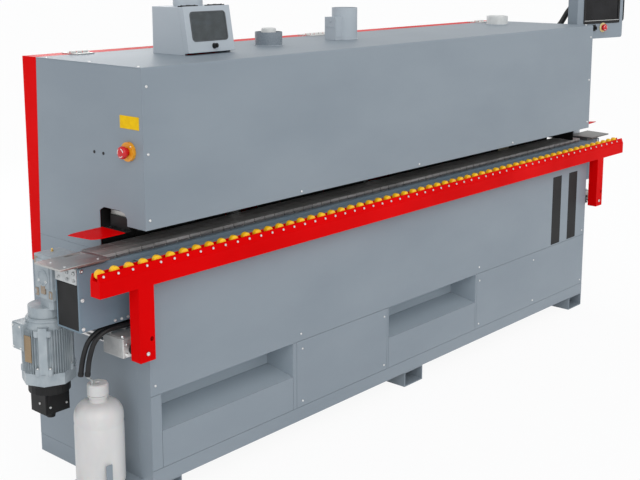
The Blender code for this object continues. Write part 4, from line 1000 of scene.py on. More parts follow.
cast_aluminium = cast_paint(
    "cast_aluminium", (0.46, 0.47, 0.47), (0.62, 0.62, 0.61), 0.36, Metallic=0.55
)
for side in ("left", "right"):
    low, high = local("bearing_block_" + side)
    bar_low, bar_high = local("guide_bar_" + side)
    x = (bar_low.x + bar_high.x) / 2
    z = (bar_low.z + bar_high.z) / 2
    ribs = []
    slab(
        ribs,
        (low.x + 0.001, low.y - 0.0015, z + 0.018),
        (high.x - 0.001, high.y - 0.002, high.z - 0.0112),
    )
    slab(
        ribs,
        (low.x + 0.005, low.y + 0.004, high.z - 0.0125),
        (high.x - 0.005, high.y - 0.004, high.z + 0.0012),
    )
    keep("bearing_block_" + side, cast_aluminium, 0.003)
    fit("bearing_ribs_" + side, cast_aluminium, ribs, "frame", "cast_aluminium", bevel=0.0015)
    heads = []
    for dx in (0.014, high.x - low.x - 0.014):
        for y in (low.y + 0.018, high.y - 0.018):
            heads += hex_bolt((low.x + dx, y, high.z + 0.001), (0, 0, 1), 0.0062)
        heads += hex_bolt((low.x + dx, low.y, low.z + 0.01), (0, -1, 0), 0.0058)
        heads += hex_bolt((low.x + dx, low.y - 0.001, high.z - 0.019), (0, -1, 0), 0.0045)
    fit("bearing_bolts_" + side, zinc, heads, "frame", "steel")
    ring = [
        (0.0129, -0.0022), (0.018, -0.0022), (0.0185, -0.0012), (0.0185, 0.0004), (0.0129, 0.0004),
    ]
    build = bmesh.new()
    rings = [
        [build.verts.new(at(u, low.y - 0.0004 + h, v)) for u, v in circle_of(x, z, r, 32)]
        for r, h in ring
    ]
    bridge(build, rings)
    bmesh.ops.recalc_face_normals(build, faces=build.faces)
    settle(made_mesh("wiper_ring_" + side, build, hose_pvc), "frame", "black_plastic")


# -- Hood --
# One 3 mm sheet folded over the operator's side and the top, with a rounded fold and a return
# along its lower edge. End sheets with the panel mouths are screwed to it.
low, high = local("hood_shell")
hood_top = high.z - 0.003
fold = 0.007
arc = [math.radians(180 - 15 * i) for i in range(7)]
outer = [(fold + fold * math.cos(a), hood_top - fold + fold * math.sin(a)) for a in arc]
inner = [
    (fold + (fold - sheet) * math.cos(a), hood_top - fold + (fold - sheet) * math.sin(a))
    for a in reversed(arc)
]
skin = [(0, low.z), *outer, (high.y, hood_top), (high.y, hood_top - sheet), *inner, (sheet, low.z)]
shell = pieces_of("hood_skin", grey_coat, [(extrude_into, skin, "X", 0, length)])
view_low, view_high = local("view_box")
port_low, port_high = local("tall_port")
port_y = port_high.y - 0.051
port_x = port_high.x - 0.051
window = [
    (view_low.x + 0.02, 0.22), (view_high.x - 0.02, 0.22), (view_high.x - 0.02, 0.355),
    (view_low.x + 0.02, 0.355),
]
tools = []
for outline in (window, circle_of(port_x, port_y, 0.049, 32)):
    tools.append(
        pieces_of(
            "opening", grey_coat, [(extrude_into, outline, "Z", hood_top - 0.02, hood_top + 0.02)]
        )
    )
cut_away(shell, *tools)
creased(shell.data)
settle(shell, "frame", "grey_paint", "hood_shell")
returns = [(slab_into, (0.004, sheet + 0.0004, low.z), (length - 0.004, 0.02, low.z + 0.002))]
slab(returns, (0.004, 0.02, low.z), (length - 0.004, 0.022, low.z + 0.018))
for x in (0.45, 0.92, 1.39, 1.86, 2.33):
    slab(returns, (x, sheet + 0.0004, low.z + 0.002), (x + 0.03, 0.006, hood_top - 0.02))
fit("hood_return", grey_coat, returns, "frame", "grey_paint", bevel=0.0005)
for node in ("hood_end_left", "hood_end_right"):
    keep(node, grey_coat, 0.0006)
screw_spots = [(x, 0, z) for x in (0.018, length - 0.018) for z in (1.343, 1.137, 0.932)]
screw_spots += [(x, 0, 0.914) for x in (0.7, 1.39, 2.08)]
sunk_screws("hood_screws", screw_spots, (0, -1, 0), 0.0048, zinc, "frame", "steel")
top_spots = [(x, y, hood_top) for x in (0.014, length - 0.014) for y in (0.03, 0.27, 0.5)]
sunk_screws("hood_top_screws", top_spots, (0, 0, 1), 0.0048, zinc, "frame", "steel")
yellow_plate = moulded(
    "yellow_plate",
    (0.8, 0.48, 0.002),
    (0.88, 0.56, 0.004),
    0.45,
    scale=60.0,
    Specular_IOR_Level=0.1,
)
blank = [(slab_into, (-0.0012, 0.017, 1.21), (0.0004, 0.108, 1.25))]
fit("blank_plate", yellow_plate, blank, "frame", "yellow_plastic", bevel=0.0005)
dots = []
for y in (0.242, 0.196):
    cap = [(0, -0.0002), (0.0052, -0.0002), (0.005, 0.0012), (0.003, 0.0016), (0, 0.001)]
    spin(dots, cap, at(0, y, 1.12), (-1, 0, 0), 20)
fit("end_grommets", hose_pvc, dots, "frame", "black_plastic")


# -- Emergency stop --
# A red moulded mushroom button on the hood's end, with three white arrows for the way it turns.
# It latches in an orange moulded ring, which two screws hold to the end sheet.
stop_red = gloss_coat("stop_red", (0.5, 0.0015, 0.0045), (0.62, 0.003, 0.008), 0.3)
ring_orange = moulded("ring_orange", (0.74, 0.29, 0.01), (0.84, 0.38, 0.016), 0.38, scale=90.0)
ring_low, ring_high = local("stop_ring")
keep("stop_ring", ring_orange, 0.0012)
centre_y = (ring_low.y + ring_high.y) / 2
centre_z = (ring_low.z + ring_high.z) / 2
button_low, button_high = local("stop_button")
reach = button_high.x - button_low.x
cap = [(0, 0), (0.012, 0), (0.012, 0.01), (0.0165, 0.0125), (0.019, 0.0145), (0.02, 0.018)]
cap += [(0.0196, 0.0235), (0.0178, 0.027), (0.012, reach - 0.0006), (0, reach)]
button = pieces_of(
    "stop_mushroom",
    stop_red,
    [(spin_into, cap, at(button_high.x, centre_y, centre_z), (-1, 0, 0), 40)],
)
settle(button, "stop_button", "red_plastic", "stop_button")
arrow_white = moulded("arrow_white", (0.7, 0.7, 0.68), (0.8, 0.8, 0.78), 0.4, scale=90.0)


def turning_arrows(u, v, outer, inner, axis, start, end):
    """Three raised bands round a button's head, which show the way it turns to let go."""
    bands = []
    for i in range(3):
        bow = [math.radians(100 + 120 * i + 70 * k / 8) for k in range(9)]
        band = [(u + outer * math.cos(a), v + outer * math.sin(a)) for a in bow]
        band += [(u + inner * math.cos(a), v + inner * math.sin(a)) for a in reversed(bow)]
        bands.append((extrude_into, band, axis, start, end))
    return bands


head_x = button_low.x
arrows = turning_arrows(centre_y, centre_z, 0.014, 0.0118, "X", head_x + 0.0002, head_x + 0.003)
fit("stop_arrows", arrow_white, arrows, "stop_button", "white_plastic")
ring_screws = [
    (ring_low.x, centre_y - 0.018, centre_z + 0.018),
    (ring_low.x, centre_y + 0.016, centre_z - 0.02),
]
sunk_screws("ring_screws", ring_screws, (-1, 0, 0), 0.0026, zinc, "frame", "steel")


# -- Rear doors and hinges --
# Two folded red doors, gloss powder-coated, close the machine's back. They lift on pressed steel
# hinges along the top edge, each leaf held by two bolts.
hinge_zinc = ground_steel("hinge_zinc", (0.58, 0.59, 0.58), (0.76, 0.76, 0.74), 0.36, (1, 3, 1))
hinge_xs = {"rear_door_left": (0.171, 1.348), "rear_door_right": (1.427, 2.6)}
for body, places in hinge_xs.items():
    keep(body, red_coat, 0.0012)
    door_leaf = []
    hood_leaf = []
    for x in places:
        for near, far, leaf in ((0.0385, 0.0065, hood_leaf), (-0.0065, -0.0465, door_leaf)):
            first, second = sorted((high.y - near, high.y - far))
            slab(
                leaf, (x - 0.036, first, hood_top + 0.0002), (x + 0.036, second, hood_top + 0.0042)
            )
            for dx in (-0.024, 0.024):
                leaf.append(
                    bolt((x + dx, (first + second) / 2, hood_top + 0.0042), (0, 0, 1), 0.004, 14)
                )
        axis = (high.y, hood_top + 0.0055)
        for start, leaf in (
            (x - 0.036, door_leaf), (x - 0.0115, hood_leaf), (x + 0.013, door_leaf),
        ):
            spin(leaf, rod(0.0058, 0.0225), at(start, *axis), (1, 0, 0), 20)
    fit(body + "_hinges", hinge_zinc, door_leaf, body, "steel", bevel=0.0004)
    fit(body + "_leaves", hinge_zinc, hood_leaf, "frame", "steel", bevel=0.0004)


# -- View box --
# A folded sheet box over the glue unit, with an extraction pipe. Its leaning door lifts on two
# black hinges and holds a glass pane in a rubber profile, and a wing knob locks it.
pale_coat = powder_coat("pale_coat", (0.44, 0.488, 0.53), (0.478, 0.526, 0.568), 0.42)
keep("view_box", pale_coat, 0.0012)
keep("view_box_door", pale_coat, 0.002)
view_width = view_high.x - view_low.x
view_top = view_high.z - 0.1
view_rise = 0.158
lean_run = 0.028
hinge_y = 0.19 + 0.024 + lean_run
tilt = math.atan(lean_run / view_rise)
door_depth = 0.024 * math.cos(tilt) - 0.0003
door_fall = view_rise / math.cos(tilt) - 0.004


def placed(pivot, turn, axis):
    """Turns parts drawn about the machine's corner and moves them to their pivot."""
    return Matrix.Translation(pivot) @ Matrix.Rotation(turn, 4, axis) @ Matrix.Translation(-corner)


door_place = placed(at(view_low.x, hinge_y, view_top), -tilt, "X")


def rounded_frame(low, high, corner_radius, steps=5):
    """The outline of a rectangle with round corners, in order."""
    spots = []
    for cx, cy, start in (
        (high[0] - corner_radius, low[1] + corner_radius, -90),
        (high[0] - corner_radius, high[1] - corner_radius, 0),
        (low[0] + corner_radius, high[1] - corner_radius, 90),
        (low[0] + corner_radius, low[1] + corner_radius, 180),
    ):
        for i in range(steps + 1):
            angle = math.radians(start + 90 * i / steps)
            spots.append(
                (cx + corner_radius * math.cos(angle), cy + corner_radius * math.sin(angle))
            )
    return spots


def ring_into(build, outer, inner, axis, start, end):
    """Adds a flat band between two outlines with the same number of points."""
    turn = drawn(axis)
    loops = [(outer, start), (outer, end), (inner, end), (inner, start)]
    made = [[build.verts.new(at(*turn(u, v, w))) for u, v in outline] for outline, w in loops]
    bridge(build, made)


left = (view_width - 0.16) / 2
base = -door_fall + 0.038
hole_low = (left, base)
hole_high = (left + 0.16, base + 0.098)
outer = rounded_frame(
    (hole_low[0] - 0.0016, hole_low[1] - 0.0016),
    (hole_high[0] + 0.0016, hole_high[1] + 0.0016),
    0.0136,
)
inner = rounded_frame(
    (hole_low[0] + 0.003, hole_low[1] + 0.003), (hole_high[0] - 0.003, hole_high[1] - 0.003), 0.009
)
gasket = [(ring_into, outer, inner, "Y", -door_depth - 0.0012, -door_depth + 0.0012)]
profile_rubber = moulded(
    "profile_rubber", (0.05, 0.056, 0.062), (0.08, 0.088, 0.095), 0.5, scale=90.0
)
fit(
    "window_profile",
    profile_rubber,
    gasket,
    "view_door",
    "black_plastic",
    bevel=0.0004,
    place=door_place,
)


def glazed(name, colours, cloud, low, high, **constants):
    """Smoked glass, its tint and gloss a little uneven."""
    made, add, shader = finish_of(name, high, **constants)
    colour, spread = blotched(add, add("ShaderNodeTexCoord")["Object"], colours, *cloud)
    connect(made, shader, "Base Color", colour)
    roughened(made, add, shader, spread, low, high)
    return made


smoke = ((0.2, 0.24, 0.26), (0.26, 0.31, 0.33))
view_glass = glazed("view_glass", smoke, (30.0,), 0.04, 0.1, Transmission_Weight=0.85, IOR=1.45)
keep("view_box_window", view_glass, 0.0004)
keep("view_box_knob", hose_pvc, 0.0008)
knob_spot = (view_width / 2 + 0.012, -door_depth, -door_fall + 0.019)
rose = [(0, -0.0002), (0.0098, -0.0002), (0.0098, 0.001), (0.009, 0.0015), (0, 0.0015)]
rose_parts = [
    (spin_into, rose, at(knob_spot[0], knob_spot[1] + 0.0005, knob_spot[2]), (0, -1, 0), 28)
]
fit("knob_rose", hose_pvc, rose_parts, "view_door", "black_plastic", place=door_place)
box_leaf = []
door_hinges = []
for x in (0.045, view_width - 0.045):
    slab(
        box_leaf,
        (view_low.x + x - 0.026, hinge_y + 0.003, view_top),
        (view_low.x + x + 0.026, hinge_y + 0.024, view_top + 0.0035),
    )
    for dx in (-0.017, 0.017):
        box_leaf.append(
            bolt((view_low.x + x + dx, hinge_y + 0.015, view_top + 0.0035), (0, 0, 1), 0.0034, 14)
        )
    spin(door_hinges, rod(0.006, 0.052), at(x - 0.026, 0, 0), (1, 0, 0), 18)
    slab(door_hinges, (x - 0.026, -door_depth + 0.003, -0.0012), (x + 0.026, -0.001, 0.0026))
    for dx in (-0.017, 0.017):
        door_hinges.append(bolt((x + dx, -0.013, 0.0026), (0, 0, 1), 0.0034, 14))
fit("view_leaves", hose_pvc, box_leaf, "frame", "black_plastic", bevel=0.0005)
fit(
    "view_hinges",
    hose_pvc,
    door_hinges,
    "view_door",
    "black_plastic",
    bevel=0.0005,
    place=door_place,
)
shelf_z = view_low.z + 0.104
inside = [
    (
        slab_into,
        (view_low.x + 0.004, hinge_y + 0.02, shelf_z),
        (view_high.x - 0.004, view_high.y - 0.004, shelf_z + 0.003),
    )
]
slab(
    inside,
    (view_low.x + 0.004, hinge_y + 0.018, shelf_z - 0.01),
    (view_high.x - 0.004, hinge_y + 0.021, shelf_z + 0.003),
)
fit("view_shelf", pale_coat, inside, "frame", "grey_paint", bevel=0.0004)
pipe_y = view_high.y - 0.051 - 0.012
pipe_x = (view_low.x + view_high.x) / 2
outer = circle_of(pipe_x, pipe_y, 0.0514, 48)
inner = circle_of(pipe_x, pipe_y, 0.0488, 48)
pipe_rim = [(ring_into, outer, inner, "Z", view_high.z - 0.005, view_high.z + 0.0004)]
fit("pipe_rim", pale_coat, pipe_rim, "frame", "grey_paint", bevel=0.0005)


# -- Extraction ports --
# Sheet steel sockets for the dust hoses, spot-welded on the hood. The short one wears a white plug,
# the tall one has a slide gate beside it, and the right one is closed with a moulded white cap.
port_coat = powder_coat("port_coat", (0.215, 0.25, 0.285), (0.265, 0.3, 0.335), 0.26, 9.0)
keep("short_port", port_coat, 0.0006)
keep("tall_port", pale_coat, 0.0008)
white_cap = moulded("white_cap", (0.62, 0.63, 0.62), (0.72, 0.73, 0.72), 0.42, scale=40.0)


def cap_profile(radius, height):
    """A moulded cap with a rounded rim, a shallow dish and a ring round its middle."""
    rim = [(radius, height - 0.004), (radius - 0.0012, height - 0.0012), (radius - 0.004, height)]
    dish = [
        (radius - 0.007, height), (radius - 0.009, height - 0.003), (radius * 0.45, height - 0.003),
    ]
    boss = [(radius * 0.42, height - 0.0015), (radius * 0.2, height - 0.0015), (0, height - 0.002)]
    return [(0, 0), (radius - 0.001, 0), (radius, 0.001), *rim, *dish, *boss]


caps = []
for node, name, sides in (
    ("short_port_plug", "short_port_cap", 40), ("right_port", "right_port_cap", 48),
):
    low, high = local(node)
    x, y = (low.x + high.x) / 2, (low.y + high.y) / 2
    shape = cap_profile((high.x - low.x) / 2, high.z - low.z)
    cap = turned(name, shape, at(x, y, low.z), (0, 0, 1), white_cap, sides)
    settle(cap, "frame", "white_plastic", node)
    caps.append((x, y))
beads = []
for x, y in (caps[0], (port_x, port_y), caps[1]):
    outer = circle_of(x, y, 0.054, 48)
    inner = circle_of(x, y, 0.0505, 48)
    beads.append((ring_into, outer, inner, "Z", hood_top, hood_top + 0.0018))
fit("port_beads", pale_coat, beads, "frame", "grey_paint", bevel=0.0006)
gate_low = port_low.x
gate = [
    (
        slab_into,
        (gate_low - 0.0012, port_y - 0.02, hood_top + 0.05),
        (gate_low + 0.002, port_y + 0.024, hood_top + 0.058),
    )
]
slab(
    gate,
    (gate_low + 0.004, port_y - 0.0275, hood_top + 0.01),
    (gate_low + 0.03, port_y - 0.025, hood_top + 0.082),
)
gate.append(bolt((gate_low - 0.0002, port_y, hood_top + 0.074), (-1, 0, 0), 0.0038, 14))
fit("gate_trim", pale_coat, gate, "frame", "grey_paint", bevel=0.0006)


# -- Control post and conduit --
# A square tube post stands beside the hood on two welded arms. A ribbed conduit brings the panel's
# cable from the hood's end, with a threaded gland at each end.
keep("control_post", pale_coat, 0.003)
post_high = local("control_post")[1]
post_x = post_high.x - 0.06
post_front = post_high.y - 0.06
cap = [
    (
        slab_into,
        (post_x - 0.0004, post_front - 0.0004, post_high.z - 0.003),
        (post_high.x + 0.0004, post_high.y + 0.0004, post_high.z + 0.0015),
    )
]
fit("post_cap", cover_black, cap, "frame", "black_plastic", bevel=0.0008)
feet = []
foot_bolts = []
for z in (0.6, 0.74):
    slab(
        feet,
        (length + 0.0003, post_front - 0.006, z - 0.01),
        (length + 0.005, post_front + 0.056, z + 0.05),
    )
    for y in (post_front + 0.000, post_front + 0.05):
        foot_bolts += hex_bolt((length + 0.005, y, z + 0.042), (1, 0, 0), 0.0055)
        foot_bolts += hex_bolt((length + 0.005, y, z - 0.002), (1, 0, 0), 0.0055)
fit("post_feet", pale_coat, feet, "frame", "grey_paint", bevel=0.001)
fit("post_bolts", zinc, foot_bolts, "frame", "steel")
conduit_black = moulded(
    "conduit_black", (0.018, 0.018, 0.019), (0.03, 0.03, 0.031), 0.48, scale=50.0
)
keep("panel_conduit", conduit_black, 0)
start = Vector((length + 0.0003, post_front + 0.012, hood_top - 0.02))
end = Vector((post_x - 0.0003, post_front + 0.025, hood_top + 0.075))
straight = Vector((0.014, 0, 0))
spine = []
for i in range(37):
    share = i / 36
    spot = (start + straight).lerp(end - straight, share)
    spot.z = start.z + (end.z - start.z) * (1 - math.cos(math.pi * share)) / 2
    spine.append(spot)
rib = [
    (0, -0.0017), (0.0124, -0.0017), (0.0134, -0.0009), (0.0134, 0.0009), (0.0124, 0.0017),
    (0, 0.0017),
]
ribs = [(spin_into, rib, at(*b), (c - a), 22) for a, b, c in zip(spine, spine[1:], spine[2:])]
fit("conduit_ribs", conduit_black, ribs, "frame", "black_plastic")
gland_zinc = ground_steel("gland_zinc", (0.52, 0.47, 0.34), (0.7, 0.64, 0.48), 0.34, (1, 1, 1))
nut = [(0, 0), (0.0165, 0), (0.017, 0.0015), (0.017, 0.0085), (0.0165, 0.01), (0, 0.01)]
dome = [(0, 0.0098), (0.015, 0.0098), (0.0146, 0.014), (0, 0.014)]
glands = []
for spot, way in ((start, (1, 0, 0)), (end, (-1, 0, 0))):
    spin(glands, nut, at(*spot), way, 6)
    spin(glands, dome, at(*spot), way, 24)
fit("conduit_glands", gland_zinc, glands, "frame", "steel", bevel=0.0003)


# -- Control panel --
# A folded sheet housing with a touch screen in a black frame, a stop button in a pale collar and a
# key switch. It swivels on the post's pin, drawn by a bent tube handle at its side.
pin = (length + 0.212, post_front - 0.045)
panel_turn = math.radians(-12)
panel_place = placed(at(*pin, 0), panel_turn, "Z")
face = -0.106
rear = face + 0.06
keep("control_panel", grey_coat, 0.002)
unlit = ((0.006, 0.006, 0.007), (0.014, 0.014, 0.016))
screen_glass = glazed("screen_glass", unlit, (9.0, 5.0), 0.12, 0.26, Specular_IOR_Level=0.18)
keep("touch_screen", screen_glass, 0.0004)
outer = rounded_frame((-0.142, 1.398), (0.127, 1.612), 0.006)
inner = rounded_frame((-0.128, 1.418), (0.113, 1.599), 0.003)
bezel = [(ring_into, outer, inner, "Y", face - 0.003, face - 0.0001)]
fit(
    "screen_frame",
    cover_black,
    bezel,
    "control_panel",
    "black_plastic",
    bevel=0.0008,
    place=panel_place,
)
strip = [(slab_into, (-0.136, face - 0.0034, 1.4125), (0.121, face - 0.0028, 1.4145))]
fit("screen_strip", zinc, strip, "control_panel", "steel", place=panel_place)
ivory = moulded("ivory_collar", (0.72, 0.6, 0.26), (0.82, 0.7, 0.34), 0.4, scale=90.0)
outer = circle_of(0.003, 1.378, 0.0235)
inner = circle_of(0.003, 1.378, 0.0118)
collar = [(ring_into, outer, inner, "Y", face - 0.0034, face - 0.0002)]
fit(
    "panel_collar", ivory, collar, "control_panel", "yellow_plastic", bevel=0.001, place=panel_place
)
cap = [(0, 0), (0.0102, 0), (0.0102, 0.0075), (0.0142, 0.0092), (0.0163, 0.0108), (0.017, 0.0132)]
cap += [(0.0166, 0.0165), (0.015, 0.0186), (0.0095, 0.0198), (0, 0.02)]
head = [(spin_into, cap, at(0.003, face, 1.378), (0, -1, 0), 36)]
fit(
    "panel_mushroom",
    stop_red,
    head,
    "panel_stop",
    "red_plastic",
    "panel_stop_button",
    place=panel_place,
)
arrows = turning_arrows(0.003, 1.378, 0.012, 0.01, "Y", face - 0.0202, face - 0.018)
fit("panel_arrows", arrow_white, arrows, "panel_stop", "white_plastic", place=panel_place)
keep("panel_knob", hose_pvc, 0.0008)
outer = rounded_frame((-0.0815, 1.3625), (-0.0505, 1.3935), 0.004)
inner = circle_of(-0.066, 1.378, 0.0095, 24)
rose = [(ring_into, outer, inner, "Y", face - 0.0024, face - 0.0002)]
fit(
    "switch_plate",
    hose_pvc,
    rose,
    "control_panel",
    "black_plastic",
    bevel=0.0005,
    place=panel_place,
)
keep("panel_handle", cover_black, 0)
side_x = -0.187 + 0.34
middle = (face + rear) / 2
sockets = []
for z in (1.325 + 0.08, 1.325 + 0.315 - 0.04):
    boss = [(0, 0), (0.0095, 0), (0.0095, 0.0025), (0.0068, 0.0065), (0, 0.0065)]
    spin(sockets, boss, at(side_x, middle, z), (1, 0, 0), 24)
fit("handle_sockets", cover_black, sockets, "control_panel", "black_plastic", place=panel_place)
lid = [(slab_into, (-0.165, rear - 0.0005, 1.347), (-0.02, rear + 0.0025, 1.618))]
slab(lid, (0.02, rear - 0.0005, 1.347), (0.131, rear + 0.0025, 1.618))
fit("panel_lids", grey_coat, lid, "control_panel", "grey_paint", bevel=0.0008, place=panel_place)
lid_screws = [
    bolt((x, rear + 0.0025, z), (0, 1, 0), 0.0034, 14)
    for x in (-0.157, -0.028, 0.028, 0.123)
    for z in (1.356, 1.609)
]
fit("lid_screws", zinc, lid_screws, "control_panel", "steel", place=panel_place)


# -- Drip bottle and its shelf --
# A blown white polythene bottle with a ribbed screw cap catches what drains from the gluing unit.
# It stands on a folded sheet shelf with an upright tongue in front.
keep("bottle_shelf", grey_coat, 0.0008)
milky = ((0.6, 0.59, 0.585), (0.68, 0.675, 0.665))
cloud = (9.0, 3.0, (1, 1, 0.5))
skin = (210.0, 3.0, 0.2, 0.0006)
hdpe = coated(
    "hdpe", milky, 0.42, cloud, (-0.06, 0.08), skin, Subsurface_Weight=0.12, Subsurface_Scale=0.02
)
bottle_low, bottle_high = local("bottle")
bx = (bottle_low.x + bottle_high.x) / 2
by = (bottle_low.y + bottle_high.y) / 2
r = (bottle_high.x - bottle_low.x) / 2
tall = bottle_high.z - bottle_low.z
body = [
    (0, 0.006), (r - 0.03, 0.005), (r - 0.022, 0), (r - 0.014, 0.0005), (r - 0.005, 0.005),
    (r - 0.001, 0.012),
]
body += [(r, 0.02), (r, 0.2), (r - 0.0012, 0.206), (r - 0.0012, 0.211), (r, 0.217), (r, 0.229)]
for i in range(1, 13):
    angle = math.pi / 2 * i / 12
    body.append((0.0305 + (r - 0.0305) * math.cos(angle) ** 0.85, 0.229 + 0.05 * math.sin(angle)))
body += [
    (0.029, 0.284), (0.029, tall - 0.044), (0.033, tall - 0.043), (0.033, tall - 0.038),
    (0.029, tall - 0.037), (0, tall - 0.037),
]
bottle = turned("drip_bottle", body, at(bx, by, bottle_low.z), (0, 0, 1), hdpe, 72)
settle(bottle, "frame", "white_plastic", "bottle")
ribs = 40
build = bmesh.new()
shape = [
    (0.008, tall - 0.002), (0.0095, tall), (0.029, tall), (0.0325, tall - 0.0025),
    (0.0335, tall - 0.008), (0.034, tall - 0.036), (0.03, tall - 0.036), (0.03, tall - 0.006),
    (0.008, tall - 0.006),
]
rings = []
for radius, height in shape:
    ring = []
    for i in range(2 * ribs):
        angle = math.pi * i / ribs
        out = radius - 0.0006 * (i % 2) * (radius > 0.032)
        spot = at(bx + out * math.cos(angle), by + out * math.sin(angle), bottle_low.z + height)
        ring.append(build.verts.new(spot))
    rings.append(ring)
bridge(build, rings)
bmesh.ops.recalc_face_normals(build, faces=build.faces)
settle(made_mesh("bottle_cap", build, hdpe), "frame", "white_plastic")


# -- Pressure beam and guards --
# A steel beam over the chain presses the panels down with two rows of rubber-tyred rollers. A flat
# red guard plate reaches out of each mouth, on a black bracket.
keep("pressure_beam", plate_steel, 0.001)
beam_low, beam_high = local("pressure_beam")
tyre_z = beam_low.z + 0.018
tyre_rubber = moulded("tyre_rubber", (0.028, 0.026, 0.025), (0.05, 0.048, 0.046), 0.6, scale=60.0)
tyre = [
    (0, 0), (0.015, 0), (0.018, 0.0015), (0.0186, 0.006), (0.0186, 0.028), (0.018, 0.0325),
    (0.015, 0.034), (0, 0.034),
]
tyres = []
spacing = 0.085
for i in range(int((beam_high.x - beam_low.x - 0.06) / spacing)):
    for y in (beam_low.y + 0.0115, beam_high.y - 0.0455):
        spin(tyres, tyre, at(beam_low.x + 0.045 + i * spacing, y, tyre_z), (0, 1, 0), 20)
fit("pressure_tyres", tyre_rubber, tyres, "pressure_beam", "pad_rubber")
beam_sides = []
for i in range(12):
    x = beam_low.x + 0.1 + i * 0.225
    for y, way in ((beam_low.y, -1), (beam_high.y, 1)):
        beam_sides.append(bolt((x, y, beam_high.z - 0.015), (0, way, 0), 0.0055, 14))
fit("pressure_bolts", zinc, beam_sides, "pressure_beam", "steel")


def guard(side, outline, foot, upright, rise, bolt_x):
    """A flat laser-cut red plate with broken edges, bolted to a black angle bracket."""
    z = local(side + "_guard")[0].z
    plate = [(extrude_into, outline, "Z", z, z + 0.003)]
    plate = pieces_of(side + "_plate", red_coat, plate, 0.001)
    settle(plate, "pressure_beam", "red_paint", side + "_guard")
    bracket = [(slab_into, (foot[0], y0, z - 0.0005), (foot[1], y1, z + 0.0035))]
    slab(bracket, (upright[0], y0 + 0.006, z + 0.001), (upright[1], y1 - 0.006, z + rise))
    bracket += [bolt((bolt_x, y, z + 0.0035), (0, 0, 1), 0.005, 14) for y in (y0 + 0.02, y1 - 0.02)]
    fit(side + "_bracket", cover_black, bracket, "pressure_beam", "black_plastic", bevel=0.0008)
    return z


y0 = beam_low.y
y1 = beam_high.y
outline = [(0.0005, y0 - 0.006), (0.0005, y1 + 0.008), (-0.098, y1 + 0.008), (-0.112, y1 + 0.0068)]
outline += [(-0.124, y1 + 0.004), (-0.136, y1), (-0.12, y0 + 0.01), (-0.11, y0 + 0.0015)]
outline += [(-0.098, y0 - 0.0035), (-0.085, y0 - 0.006)]
guard("infeed", outline, (0.001, 0.0297), (0.023, 0.0297), 0.042, 0.013)
outline = [(0.0005, y0 - 0.006), (0.15, y0 - 0.02), (0.258, y0 - 0.0092), (0.265, y0 - 0.007)]
outline += [(0.262, y0 - 0.0035), (0.16, y1 + 0.002), (0.15, y1 + 0.008), (0.0005, y1 + 0.008)]
outline = [(length + x, y) for x, y in outline]
foot = (length - 0.0297, length + 0.001)
guard_z = guard("outfeed", outline, foot, (length - 0.0297, length - 0.023), 0.03, length - 0.013)


# -- Shade sheets and brush --
# Black strips hang beside the pressure beam as painted shade for the dark inside of the hood, with
# gaps where the working units reach the panel's edge. One more black sheet closes the outfeed mouth
# behind the beam as painted shade, and a brush under the outfeed bracket hangs down to the chain.
# Near-black rubber for the brush, and for the sheets that are painted shade inside the hood.
shade_sheet_and_brush_black = moulded(
    "shade_sheet_and_brush_black",
    (0.006, 0.006, 0.006),
    (0.012, 0.012, 0.012),
    0.75,
    scale=20.0,
    Specular_IOR_Level=0.2,
)
shade_sheets = []
strip = 0.06
for start, end in ((0.006, 0.545), (0.705, 1.32), (1.49, 2.32), (2.49, length - 0.006)):
    count = int((end - start) / strip)
    for i in range(count):
        x = start + (end - start) * i / count
        edge = x + (end - start) / count - 0.0004
        y = 0.2275 + 0.0012 * (i % 2)
        slab(shade_sheets, (x + 0.0004, y, 0.812), (edge, y + 0.001, 0.985))
    slab(shade_sheets, (start, 0.2255, 0.986), (end, 0.2315, 0.992))
# A black sheet across the outfeed mouth: painted shade for the dark inside.
slab(shade_sheets, (length - 0.0038, 0.228, 0.704), (length - 0.0032, 0.528, 0.96))
fit("painted_shade_sheets", shade_sheet_and_brush_black, shade_sheets, "frame", "pad_rubber")
brush = [
    (
        slab_into,
        (length - 0.014, y0 - 0.028, guard_z - 0.012),
        (length - 0.004, y1 + 0.018, guard_z - 0.0005),
    )
]
tufts = 38
hang = guard_z - 0.012 - (table_top + 0.0015)
tuft = [(0, 0), (0.0023, 0), (0.0019, hang), (0, hang)]
for i in range(tufts):
    y = y0 - 0.026 + (y1 - y0 + 0.042) * i / (tufts - 1)
    for x in (length - 0.0115, length - 0.0065):
        spin(brush, tuft, at(x, y, guard_z - 0.012), (0, 0, -1), 6)
fit("outfeed_brush", shade_sheet_and_brush_black, brush, "pressure_beam", "black_plastic")


# -- Gluing unit --
# A coated pot with a hinged lid and a heater plate melts the glue, and a knurled upright roller
# lays it on the panel's edge.
pot_coat = cast_paint("pot_coat", (0.3, 0.3, 0.29), (0.42, 0.42, 0.4), 0.5)
keep("glue_pot", pot_coat, 0.003)
pot_low, pot_high = local("glue_pot")
lid = [
    (
        slab_into,
        (pot_low.x - 0.003, pot_low.y - 0.003, pot_high.z + 0.0005),
        (pot_high.x + 0.003, pot_high.y + 0.003, pot_high.z + 0.01),
    )
]
slab(
    lid,
    (pot_low.x + 0.06, pot_low.y + 0.02, pot_high.z + 0.009),
    (pot_low.x + 0.1, pot_low.y + 0.03, pot_high.z + 0.026),
)
for x in (pot_low.x + 0.02, pot_high.x - 0.045):
    spin(lid, rod(0.0055, 0.025), at(x, pot_high.y + 0.002, pot_high.z + 0.009), (1, 0, 0), 18)
fit("glue_lid", pot_coat, lid, "frame", "cast_aluminium", bevel=0.0015)
heater = [
    (
        slab_into,
        (pot_low.x + 0.014, pot_low.y - 0.006, pot_low.z + 0.02),
        (pot_high.x - 0.014, pot_low.y + 0.001, pot_low.z + 0.1),
    )
]
fit("glue_heater", tag_brown, heater, "frame", "steel", bevel=0.002)
